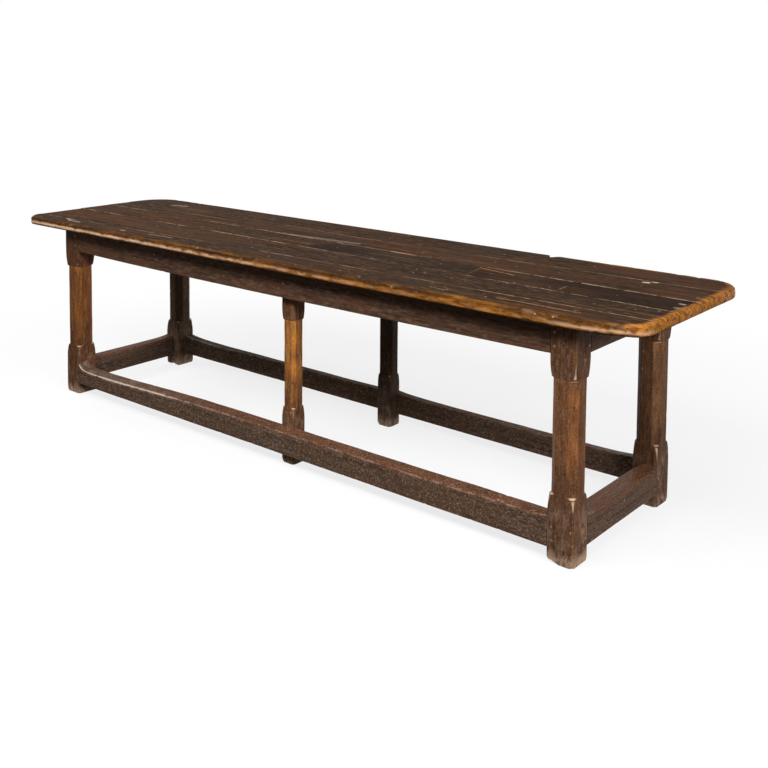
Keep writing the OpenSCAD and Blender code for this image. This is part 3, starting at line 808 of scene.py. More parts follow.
@dataclass(frozen=True)
class EdgeTones:
    """How the edge of the top has coloured, by places along the table.

    Gold is warm wood, in the upper and in the lower part of the front edge and round the right end.
    Along the front edge a pale strip paints the highlight of the lamps, strongest at the left end, and spread
    widens the stain behind the edge.
    """

    gold_x: tuple[float, ...] = (-1.4, -0.73, -0.2, 0.3, 0.7, 0.88, 1.0, 1.1, 1.2, 1.35)
    upper_gold: tuple[float, ...] = (0.25, 0.28, 0.36, 0.18, 0.24, 0.40, 0.42, 0.26, 0.28, 0.34)
    lower_gold: tuple[float, ...] = (0.35, 0.5, 0.7, 0.85, 1.05, 1.15, 1.15, 0.85, 0.7, 0.75)
    end_y: Size = (-0.30, -0.05, 0.30)
    end_gold: Size = (1.6, 1.25, 0.95)
    back_gold: float = 0.75
    least_gold: float = 0.25
    # Painted highlight of the lamps on the front edge: its strength at places along the table, and the height
    # and width of the strip.
    highlight_x: tuple[float, ...] = (-1.4, -1.2, -0.72, -0.18, 0.32, 0.74, 0.9, 1.0, 1.1, 1.2, 1.33)
    wear_and_highlight: tuple[float, ...] = (1.5, 1.35, 1.0, 0.76, 0.27, 0.14, 0.16, 0.18, 0.16, 0.30, 0.55)
    highlight_band: Pair = (0.0125, 0.0055)
    spread_x: tuple[float, ...] = (0.7, 1.2, 1.37, 1.41)
    spread: tuple[float, ...] = (1.0, 2.0, 2.0, 1.0)

    def golden(self, points: np.ndarray, height: np.ndarray, front: np.ndarray) -> np.ndarray:
        """Works out how golden the edge is.

        Args:
            points: Places on a board.
            height: Their height over the top's underside.
            front: How near the front each lies, from 0 to 1.

        Returns:
            The strength of the gold.
        """
        x, y = points[..., 0], points[..., 1]
        low = 1 - smooth_step(height, 0.010, 0.027)
        upper, lower = (np.interp(x, self.gold_x, gold) for gold in (self.upper_gold, self.lower_gold))
        end = smooth_step(x, 1.405, 1.435) * np.interp(y, self.end_y, self.end_gold)
        rear = smooth_step(y, 0.33, 0.36) * smooth_step(x, 0.78, 0.84) * self.back_gold
        rear = np.maximum(rear, self.least_gold * (1 - front))
        return np.maximum(np.maximum((upper + (lower - upper) * low) * front, end), rear)

    def pale(self, skin: Skin, height: np.ndarray) -> np.ndarray:
        """Works out the painted highlight: a pale strip along the edge.

        Args:
            skin: Skin of a board.
            height: Height of its points over the top's underside.

        Returns:
            The strength of the painted highlight.
        """
        speckle = skin.pattern((0.032, 0.032, 0.010), 4, 4.1)
        highlight_band = np.exp(-(((height - self.highlight_band[0]) / self.highlight_band[1]) ** 2))
        wear_and_highlight = np.interp(skin.unworn[..., 0], self.highlight_x, self.wear_and_highlight)
        return highlight_band * wear_and_highlight * np.clip(0.25 + 1.5 * (speckle - 0.1), 0.2, 1.3)


@dataclass
class Plank(Piece):
    """One board of the top, or one length of a pieced board."""

    node: str
    near: Line
    far: Line
    outline: Outline
    left: Pair | None = None
    right: Pair | None = None
    upper_far: Line | None = None
    level: float = 0.0003
    base: float = FRAME_HEIGHT
    finish: Oak = TOP_OAK
    slot: str = "top_oak"
    nosing_upper: float = 0.012
    nosing_lower: float = 0.007
    arris: float = 0.0016
    chips: tuple[Chip, ...] = ()
    seam: float = 1.0
    tones: EdgeTones = EdgeTones()

    PITCH = 0.008
    ACROSS = 0.0075
    ACROSS_LOWER = 0.03
    LIP = (0.0, 0.0004, 0.0016, 0.0035, 0.006, 0.0089, 0.0125)
    LOWER_LIP = (0.0, 0.002, 0.0045, 0.0075)
    END_LIP = (*LIP[1:], 0.017, 0.023, 0.030)
    CLIMB = (0.2, 0.4, 0.6, 0.8)
    THINNEST = 0.0006
    END_PLACES = 29421
    END_PLAY = 1e-5
    RIM = (0.008, 0.020)
    FRONT = (0.20, 0.34)
    UNDERSIDE = 0.0005
    SEAM_WIDTH = 0.0026
    SEAM_PALE = (0.06, 0.52)

    def _ends(self) -> tuple[Pair, Pair]:
        """Finds both ends.

        Returns:
            X of each end, at the near and at the far edge.
        """
        places = np.linspace(self.outline.left, HALF_LENGTH, self.END_PLACES)
        wide = places[(self.far(places) - self.near(places)) > self.THINNEST]
        left, right = wide[0] + self.END_PLAY, wide[-1] - self.END_PLAY
        return self.left or (left, left), self.right or (right, right)

    def _row(self, share: np.ndarray, lip: tuple[float, ...], pitch: float,
             far: Line) -> tuple[np.ndarray, np.ndarray]:
        """Lays out a face.

        Args:
            share: Share of the way along at each station.
            lip: Distances from an edge at which points are crowded.
            pitch: Distance between the other points.
            far: Far edge of the face.

        Returns:
            X and Y, each as stations by points.
        """
        left, right = self._ends()
        x = (left[0] + left[1]) / 2 * (1 - share) + (right[0] + right[1]) / 2 * share
        width = np.maximum(far(x) - self.near(x), 1e-4)
        edge = np.array(lip)
        squeeze = np.minimum(1, width / (edge[-1] * 2.4))[:, None]
        count = max(int(np.median(width - 2 * edge[-1]) / pitch), 2)
        inner = np.linspace(0, 1, count + 2)[None, 1:-1]
        start = edge[-1] * squeeze
        middle = start + inner * (width[:, None] - 2 * start)
        offsets = np.hstack([edge * squeeze, middle, width[:, None] - edge[::-1] * squeeze])
        part = offsets / width[:, None]
        first = left[0] + (left[1] - left[0]) * part
        last = right[0] + (right[1] - right[0]) * part
        across_x = first + (last - first) * share[:, None]
        y_near = self.near(across_x)
        return across_x, y_near + (far(across_x) - y_near) * part

    def _joint_distance(self, x: np.ndarray, y: np.ndarray, far: Line) -> np.ndarray:
        """Measures the distance to the nearest joint with another board.

        Args:
            x: Places along the table.
            y: Places across the table.
            far: Far edge of the face.

        Returns:
            The distances.
        """
        away = np.minimum(y - self.near(x), far(x) - y)
        for end in filter(None, (self.left, self.right)):
            near_y, far_y = (float(line(np.array(place))) for line, place in zip((self.near, far), end))
            run = np.array([end[1] - end[0], far_y - near_y])
            away = np.minimum(away, abs((x - end[0]) * run[1] - (y - near_y) * run[0]) / np.hypot(*run))
        return np.maximum(away, 0)

    def _skins(self, seed: int) -> list[Skin]:
        """Builds the skin.

        Args:
            seed: Number that picks the pattern of wear.

        Returns:
            The worn skin, with its shades.
        """
        left, right = self._ends()
        start, end = (left[0] + left[1]) / 2, (right[0] + right[1]) / 2
        extra = (0.0, *self.outline.break_at)
        if self.upper_far:
            extra += (WEDGE_AT[1] - 0.001, WEDGE_AT[1], WEDGE_AT[1] + 0.001, WEDGE_AT[2] - 0.0005)
        places = stations(start, end, self.PITCH, self.END_LIP, extra)
        share = (places - start) / (end - start)
        upper_far = self.upper_far or self.far
        x, y = self._row(share, self.LIP, self.ACROSS, upper_far)
        inset = self.outline.inset(x, y)
        joint = self._joint_distance(x, y, upper_far)
        joint = np.where(joint < inset + 1e-4, joint, 1.0)
        drop = np.maximum(rounding(inset, self.nosing_upper), rounding(joint, self.arris))
        upper = np.stack([x, y, TABLE_HEIGHT - drop], axis=-1)
        x, y = self._row(share, self.LOWER_LIP, self.ACROSS_LOWER, self.far)
        rise = rounding(self.outline.inset(x, y), self.nosing_lower if self.base == FRAME_HEIGHT else 0.0)
        lower = np.stack([x, y, self.base + rise], axis=-1)
        climb = np.array(self.CLIMB)[None, :, None]
        far_wall = upper[:, -1:] + (lower[:, -1:] - upper[:, -1:]) * climb
        near_wall = lower[:, :1] + (upper[:, :1] - lower[:, :1]) * climb
        rings = np.concatenate([upper, far_wall, lower[:, ::-1], near_wall], axis=1)
        skin = Skin(rings, Noise(seed))
        self._wear(skin, joint)
        skin.keep_inside(self.node)
        return [skin]

    def _knocked(self, skin: Skin, rim: np.ndarray) -> tuple[np.ndarray, np.ndarray]:
        """Works out how deep the upper face and the edge are worn.

        Args:
            skin: The new skin.
            rim: How near the edge of the top each point lies, from 0 to 1.

        Returns:
            The depth of the wear, and how far it knocks through to pale wood.
        """
        x, y, height = np.moveaxis(skin.unworn - (0, 0, FRAME_HEIGHT), -1, 0)
        depth = self.level + 0.0006 * skin.pattern((0.30, 0.07, 1.0))
        knocks = smooth_step(skin.pattern((0.040, 0.040, 0.016)), 0.60, 0.76)
        depth = depth + rim * (0.0007 * skin.pattern((0.07, 0.07, 0.02), 2) + 0.0022 * knocks)
        bare_and_highlight = rim * knocks * smooth_step(height, 0.004, 0.016) * 0.8
        for chip in self.chips:
            away = np.hypot(x - chip.x, y - chip.y)
            ragged = 0.35 + 1.1 * skin.pattern((0.012, 0.012, 0.008), 2)
            bite = (1 - smooth_step(away, chip.reach * 0.35, chip.reach)) * ragged * rim
            depth = depth + chip.depth * bite
            bare_and_highlight = np.maximum(bare_and_highlight, np.clip(bite * 1.3, 0, 1))
        return depth, bare_and_highlight

    def _wear(self, skin: Skin, joint: np.ndarray) -> None:
        """Wears the skin down and stores its shades.

        Args:
            skin: The new skin.
            joint: Distance to a joint of each point of the upper face.
        """
        points, tones = skin.unworn, self.tones
        inset = self.outline.inset(points[..., 0], points[..., 1])
        rim = 1 - smooth_step(inset, *self.RIM)
        height = points[..., 2] - FRAME_HEIGHT
        underside = height < self.UNDERSIDE
        depth, bare_and_highlight = self._knocked(skin, rim)
        skin.sink(np.where(underside, 0.0004 * skin.pattern((0.1, 0.02, 1.0), 2), depth))
        front = smooth_step(-points[..., 1], *self.FRONT)
        golden = tones.golden(points, height, front)
        ragged = skin.pattern((0.09, 0.09, 0.09))
        width = (0.018 + 0.034 * ragged) * np.interp(points[..., 0], tones.spread_x, tones.spread)
        stain = (1 - smooth_step(inset, 0.010, width)) * (0.45 + 0.5 * ragged)
        worn = np.maximum(stain, rim) * golden * smooth_step(height, 0.0, 0.006)
        # Painted highlight: the pale strip from the tones is laid along the front edge, over the knocks and
        # chips.
        bare_and_highlight = np.maximum(bare_and_highlight * 0.10, rim * tones.pale(skin, height) * front)
        upper = np.s_[:, :joint.shape[1]]
        broken = smooth_step(skin.pattern((0.16, 0.3, 1.0))[upper], 0.38, 0.60)
        pale = self.SEAM_PALE[0] + (self.SEAM_PALE[1] - self.SEAM_PALE[0]) * broken
        seam = np.exp(-((joint / self.SEAM_WIDTH) ** 2)) * pale * self.seam
        bare_and_highlight[upper] = np.maximum(bare_and_highlight[upper], seam * smooth_step(inset[upper], 0.002, 0.006))
        skin.shade("worn", np.where(underside, 0, np.clip(worn, 0, 1.2)))
        skin.shade("bare_and_highlight", np.where(underside, 0, np.clip(bare_and_highlight, 0, 1)))


PALE, FAINT, STAIN = (176, 150, 126), (150, 118, 88), (22, 16, 12)
MARKS = {
    "plank_front": (
        Mark((-1.261, -0.305), (-1.198, -0.330), 0.009, PALE),
        Mark((-1.198, -0.330), (-1.133, -0.333), 0.009, PALE),
        Mark((-1.256, -0.305), (-1.193, -0.310), 0.007, PALE, 0.5),
        Mark((-0.831, -0.338), (-0.822, -0.336), 0.012, PALE),
        Mark((-0.676, -0.321), (-0.540, -0.315), 0.006, PALE, 0.6),
        Mark((0.740, -0.330), (0.800, -0.338), 0.005, FAINT, 0.6),
        Mark((0.980, -0.314), (1.261, -0.316), 0.006, FAINT, 0.7),
    ),
    "plank_third_middle": (
        Mark((0.005, -0.070), (0.190, -0.045), 0.050, STAIN, 0.85),
        Mark((0.030, -0.020), (0.230, -0.010), 0.036, STAIN, 0.7),
    ),
    "plank_third_right": (
        Mark((1.064, -0.089), (1.060, -0.039), 0.005, (132, 104, 82), 0.6),
        Mark((0.681, 0.019), (0.890, -0.018), 0.0035, (190, 134, 92), 0.9),
        Mark((1.434, -0.021), (1.446, -0.023), 0.009, (176, 162, 150), 0.9),
        Mark((1.440, -0.074), (1.452, -0.078), 0.008, (160, 140, 122), 0.8),
    ),
    "plank_fourth": (
        Mark((1.223, 0.179), (1.231, 0.180), 0.014, (226, 206, 184), 0.95),
        Mark((1.246, 0.198), (1.254, 0.200), 0.010, (196, 170, 142), 0.9),
        Mark((-0.948, 0.139), (-0.735, 0.132), 0.016, (120, 72, 40), 0.6),
        Mark((-0.250, 0.050), (-0.120, 0.062), 0.020, (132, 116, 104), 0.55),
        Mark((-0.120, 0.062), (0.085, 0.077), 0.018, (140, 124, 112), 0.65),
    ),
    "plank_back": (Mark((-1.222, 0.248), (-1.152, 0.268), 0.016, (170, 140, 112), 0.8),),
}
CHIPS = (
    Chip(1.440, -0.345, 0.045, 0.0035), Chip(1.395, -0.360, 0.030, 0.002),
    Chip(-1.440, -0.358, 0.040, 0.002), Chip(1.130, -0.3835, 0.030, 0.002),
    Chip(1.215, -0.3835, 0.022, 0.0015), Chip(0.640, -0.3835, 0.025, 0.0015),
)


@dataclass
class Top:
    """The top: five rows of planks, the third pieced out of three lengths and a wedge."""

    joints: tuple[Joint, ...] = (
        Joint(-0.309, -0.269, -0.259),
        Joint(-0.091, -0.103, -0.124),
        Joint(0.065, 0.046, 0.030),
        Joint(0.241, 0.182, 0.212),
    )
    splice_left: Pair = (-0.070, 0.0)
    splice_right: Pair = (0.719, 0.686)
    wedge_reach: float = 0.064
    wedge_depth: float = 0.012
    wedge_play: Pair = (0.002, 0.001)
    plank_step: float = 0.007
    outline: Outline = Outline()

    SEEDS = (11, 3)

    def _wedge_line(self, x: np.ndarray) -> np.ndarray:
        """Returns Y of the two free edges of the wedge, or of the joint beside it."""
        reach = np.interp(x, WEDGE_AT, (0.0, self.wedge_reach, 0.0))
        return self.joints[2].y(x) - reach

    def _fourth_far(self, x: np.ndarray) -> np.ndarray:
        """Returns Y of the back edge of the fourth plank, which the top's corners cut."""
        return np.minimum(self.joints[3].y(x), self.outline.back(x))

    def _planks(self) -> list[Plank]:
        """Lists the boards.

        Returns:
            The boards from front to back, and the wedge.
        """
        first, second, third, fourth = self.joints
        full, short = self.outline, replace(self.outline, left=self.plank_step - HALF_LENGTH)
        wedge_left, wedge_right = WEDGE_AT[0] + self.wedge_play[0], WEDGE_AT[2] - self.wedge_play[1]
        planks = [
            Plank("plank_front", short.front, first.y, short, level=0.0003, chips=CHIPS),
            Plank("plank_second", first.y, second.y, short, level=0.0007),
            Plank("plank_third_left", second.y, third.y, full, right=self.splice_left, level=0.0004),
            Plank("plank_third_middle", second.y, third.y, full, left=self.splice_left,
                  right=self.splice_right, level=0.0009, slot="patch_oak", finish=PATCH_OAK),
            Plank("plank_third_right", second.y, third.y, full, left=self.splice_right,
                  upper_far=self._wedge_line, level=0.0005, finish=SHADED_OAK),
            Plank("plank_fourth", third.y, self._fourth_far, full, level=0.0002),
            Plank("plank_back", fourth.y, full.back, full, level=0.0006),
            Plank("top_wedge", self._wedge_line, third.y, full, left=(wedge_left, wedge_left),
                  right=(wedge_right, wedge_right), level=0.0002, slot="patch_oak", finish=WEDGE_OAK,
                  base=TABLE_HEIGHT - self.wedge_depth, seam=0.0),
        ]
        for plank in planks:
            plank.finish = replace(plank.finish, marks=MARKS.get(plank.node, ()))
        return planks

    def make(self) -> list[bpy.types.Object]:
        """Builds every board of the top."""
        return make_all(self._planks(), *self.SEEDS)


# ---------- legs ----------


@dataclass(frozen=True)
class Lap:
    """A notch where a middle leg is lapped over a rail."""

    low: float
    high: float
    y: float
    front: bool


@dataclass
class Leg(Piece):
    """A square leg whose shaft is chamfered between stops, each a ledge with a tongue beyond it."""

    node: str
    centre: Pair
    foot_wear: Four
    size: float = LEG
    shaft: float = 0.024
    stop: float = 0.013
    ledges: Pair = (0.205, 0.558)
    tongue: float = 0.056
    ledge_slope: float = 0.003
    arris: float = 0.0025
    fillet: float = 0.0020
    foot_wear_up: float = 0.016
    laps: tuple[Lap, ...] = ()
    split: Size | None = None
    split_top: float = 0.022
    broken: Size | None = None
    face_wear: float = 0.36
    arris_wear: float = 0.30
    finish: Oak = LEG_OAK

    TURNS = (((1, -1), (1, 0), (0, 1)), ((1, 1), (0, 1), (-1, 0)),
             ((-1, 1), (-1, 0), (0, -1)), ((-1, -1), (0, -1), (1, 0)))
    FACE_POINTS = 5
    FLAT_POINTS = 3
    FOOT_STEPS = (0.0005, 0.0014, 0.003, 0.006, 0.010)
    LEDGE_STEPS = (-0.001, 0.0, 0.0006, 0.0024, 0.0030, 0.0042)
    PITCH = 0.0033
    FOOT_ROUND = 0.0022
    LEAST_CUT = 0.0009
    PLAY = 2e-4
    FORM = "post"
    CREASE = 60.0
    slot = "leg_oak"

    def _levels(self) -> np.ndarray:
        """Picks the heights of the stations, with more of them at feet, ledges, laps and a split.

        Returns:
            The heights.
        """
        extra = [*self.FOOT_STEPS, self.foot_wear_up]
        for ledge, sign in zip(self.ledges, (1, -1)):
            extra += [ledge + sign * step for step in self.LEDGE_STEPS]
            extra.append(ledge - sign * self.tongue)
        for lap in self.laps:
            extra += [edge + side for edge in (lap.low, lap.high) for side in (-self.PLAY, self.PLAY)]
        if self.split:
            extra += [self.split_top - 5e-4, self.split_top, self.split_top + 5e-4]
        return stations(0.0, FRAME_HEIGHT, self.PITCH, (), tuple(extra))

    def _chamfer(self, z: np.ndarray) -> np.ndarray:
        """Follows the chamfer that the joiner cut.

        Args:
            z: Heights.

        Returns:
            The chamfer at each height.
        """
        low, high = self.ledges
        beyond = np.maximum(low - z, z - high)
        share = np.clip(1 - beyond / self.tongue, 0, 1)
        cut = np.clip(-beyond / self.ledge_slope, 0, 1)
        return self.arris + (self.stop - self.arris) * share**2 + (self.shaft - self.stop) * cut

    def _corner(self, turn: tuple, half: np.ndarray, cut: np.ndarray) -> list[np.ndarray]:
        """Lays out the points of one corner.

        Args:
            turn: Which corner, and the directions in which its two faces run.
            half: Half the leg's side at each station.
            cut: Chamfer at each station.

        Returns:
            The points in plan, each as stations by 2.
        """
        corner, arriving, leaving = (np.array(part, dtype=float) for part in turn)
        slant = (arriving + leaving) / math.sqrt(2)
        soft = np.minimum(self.fillet, 0.45 * math.sqrt(2) * cut)[:, None]
        tip = corner * half[:, None]
        first = tip - arriving * cut[:, None]
        last = tip + leaving * cut[:, None]
        ends = []
        for peak, enter, leave in ((first, arriving, slant), (last, slant, leaving)):
            before, after = peak - enter * soft, peak + leave * soft
            ends.append((before, 0.25 * before + 0.5 * peak + 0.25 * after, after))
        return [*ends[0], *between(ends[0][2], ends[1][0], self.FLAT_POINTS), *ends[1]]

    def _skins(self, seed: int) -> list[Skin]:
        """Builds the skin.

        Args:
            seed: Number that picks the pattern of wear.

        Returns:
            The worn skin, with its shades.
        """
        noise = Noise(seed)
        z = self._levels()
        half = self.size / 2 - rounding(z, self.FOOT_ROUND)
        plain = self._chamfer(z)
        on_shaft = smooth_step(plain, self.stop, self.shaft * 0.9) * (0.3 + 0.7 * smooth_step(z, 0.20, 0.38))
        corners, wanders = [], []
        for number, turn in enumerate(self.TURNS):
            line = np.stack([np.full(z.shape, 0.37 * number), np.zeros(z.shape), z], axis=-1)
            wander = noise.layers(line, (1.0, 1.0, 0.050), 4)
            cut = plain * (1 + 0.07 * (wander - 0.5) * on_shaft) + 0.0022 * (wander - 0.35) * (1 - on_shaft)
            knock = smooth_step(noise.layers(line + 3.3, (1.0, 1.0, 0.020), 2), 0.70, 0.9)
            cut = cut + 0.0025 * knock * (1 - on_shaft)
            foot = self.foot_wear[number] * np.clip(1 - z / self.foot_wear_up, 0, 1)
            corners.append(self._corner(turn, half, np.maximum(np.maximum(cut, foot), self.LEAST_CUT)))
            wanders.append(wander)
        plan, worn = [], []
        for corner, following, wander in zip(corners, corners[1:] + corners[:1], wanders):
            plan += [*corner, *between(corner[-1], following[0], self.FACE_POINTS)]
            edge = (0.45 + 0.9 * (wander - 0.5)) * (0.5 + 0.5 * on_shaft)
            flat = on_shaft * (0.55 + 0.8 * (wander - 0.3))
            inner = np.maximum(flat, edge * 0.7)
            worn += [edge, edge, inner] + [flat] * self.FLAT_POINTS + [inner, edge, edge]
            worn += [self.face_wear * on_shaft] * self.FACE_POINTS
        rings = np.stack(plan, axis=1) + np.array(self.centre)
        height = np.broadcast_to(z[:, None, None], (*rings.shape[:2], 1))
        skin = Skin(np.concatenate([rings, height], axis=-1), noise)
        self._wear(skin)
        self._shade(skin, np.stack(worn, axis=1))
        skin.keep_inside(self.node)
        return [skin]

    def _wear(self, skin: Skin) -> None:
        """Wears the skin down, notches it for its laps and breaks its foot.

        Args:
            skin: The new skin.
        """
        z = skin.unworn[..., 2]
        inner = smooth_step(z, 0.0, 0.004) * smooth_step(FRAME_HEIGHT - z, 0.0, 0.004)
        depth = 0.0002 + 0.0009 * skin.pattern((0.05, 0.05, 0.20))
        dents = smooth_step(skin.pattern((0.018, 0.018, 0.030), 2, 1.9), 0.74, 0.9)
        skin.sink((depth + 0.0012 * dents) * (0.25 + 0.75 * inner))
        rings = skin.rings
        for lap in self.laps:
            cut = (z > lap.low) & (z < lap.high)
            limit = np.maximum(rings[..., 1], lap.y) if lap.front else np.minimum(rings[..., 1], lap.y)
            rings[..., 1] = np.where(cut, limit, rings[..., 1])
        if self.split:
            x, y, reach = self.split
            gap = y + np.clip(reach - abs(rings[..., 0] - x), 0, None)
            split = z < self.split_top + self.PLAY
            rings[..., 1] = np.where(split, np.maximum(rings[..., 1], gap), rings[..., 1])
        lift = 0.0016 * skin.pattern((0.02, 0.02, 0.5), 2)
        if self.broken:
            x, y, reach = self.broken
            away = np.hypot(rings[..., 0] - x, rings[..., 1] - y)
            ragged = 0.7 + 0.6 * skin.pattern((0.012, 0.012, 1.0), 2)
            lift = lift + 0.0085 * (1 - smooth_step(away, reach * 0.55, reach)) * ragged
        rings[..., 2] = z + lift * np.clip(1 - z / 0.030, 0, 1)

    def _shade(self, skin: Skin, worn: np.ndarray) -> None:
        """Stores the shades: a pale foot and lower block, a painted highlight on each ledge, and worn
        arrises.

        Args:
            skin: The skin.
            worn: How rubbed each point is.
        """
        z = skin.unworn[..., 2]
        tread = 0.35 + 0.9 * (skin.pattern((0.03, 0.03, 0.04)) - 0.3)
        tread = (1 - smooth_step(z, 0.006, 0.060)) * tread
        block = 1 - smooth_step(z, self.ledges[0] - 0.060, self.ledges[0] - 0.005)
        block = block * (skin.pattern((0.03, 0.03, 0.05)) - 0.3)
        bare_and_highlight = np.clip(np.maximum(tread, 0.5 * block), 0, 1)
        around = np.arange(z.shape[1]) % (6 + self.FLAT_POINTS + self.FACE_POINTS)
        flat = abs(around - 3 - (self.FLAT_POINTS - 1) / 2) <= self.FLAT_POINTS / 2
        fine = skin.pattern((0.012, 0.012, 0.020), 3, 7.7)
        for ledge, sign, start in zip(self.ledges, (1, -1), (0.0, self.ledge_slope)):
            above = sign * (z - ledge)
            # Painted highlight on the slope of each ledge, where it catches the light.
            bright = (above > start - 0.0004) & (above < start + self.ledge_slope + 0.0008)
            wear_and_highlight = np.where(above < -0.0025, self.arris_wear * (0.4 + 1.8 * (fine - 0.3)), 0)
            bare_and_highlight = np.maximum(bare_and_highlight, np.where(flat, np.where(bright, 0.8, wear_and_highlight), 0))
        skin.shade("worn", np.clip(worn, 0, 1))
        skin.shade("bare_and_highlight", np.clip(bare_and_highlight, 0, 1))


@dataclass
class Legs:
    """The four corner legs and the two slimmer middle legs, lapped over the long rails."""

    middle_x: Pair = (0.066, 0.084)
    middle_size: Pair = (0.061, 0.065)
    middle_y: Pair = (-0.286, 0.237)
    foot_wear: Four = (0.012, 0.0095, 0.0085, 0.006)
    front_laps: tuple[Lap, ...] = (Lap(0.613, 0.8, -0.280, True), Lap(0.045, 0.127, -0.276, True))
    back_laps: tuple[Lap, ...] = (Lap(0.620, 0.8, 0.280, False), Lap(0.045, 0.134, 0.282, False))

    SEEDS = (41, 5)

    def _worn_feet(self, sx: int, sy: int) -> Four:
        """Returns the wear at each corner of a foot, greatest at the table's own corner."""
        return tuple(self.foot_wear[2 * (cx != sx) + (cy != sy)] for (cx, cy), _, _ in Leg.TURNS)

    def _legs(self) -> list[Leg]:
        """Lists the legs.

        Returns:
            The corner legs and then the middle legs.
        """
        x, y = HALF_FRAME - LEG / 2, HALF_DEPTH - LEG / 2
        slim = {"shaft": 0.0145, "stop": 0.008, "ledges": (0.205, 0.531), "tongue": 0.042}
        front, back = ((place, near + size / 2)
                       for place, near, size in zip(self.middle_x, self.middle_y, self.middle_size))
        feet = self._worn_feet
        return [
            Leg("leg_front_left", (-x, -y), feet(-1, -1), finish=AMBER_OAK, face_wear=0.6),
            Leg("leg_front_right", (x, -y), feet(1, -1), broken=(x - 0.030, -HALF_DEPTH, 0.024),
                arris_wear=0.75),
            Leg("leg_back_left", (-x, y), feet(-1, 1), split=(-x, SHOULDER_Y, 0.0156), finish=LIT_GREY_OAK),
            Leg("leg_back_right", (x, y), feet(1, 1), finish=DIM_OAK, arris_wear=0.6),
            Leg("leg_front_middle", front, feet(-1, -1), self.middle_size[0], laps=self.front_laps,
                finish=WARM_OAK, face_wear=0.5, **slim),
            Leg("leg_back_middle", back, feet(-1, -1), self.middle_size[1], laps=self.back_laps,
                finish=DULL_OAK, **slim),
        ]

    def make(self) -> list[bpy.types.Object]:
        """Builds every leg."""
        return make_all(self._legs(), *self.SEEDS)


# ---------- rails ----------


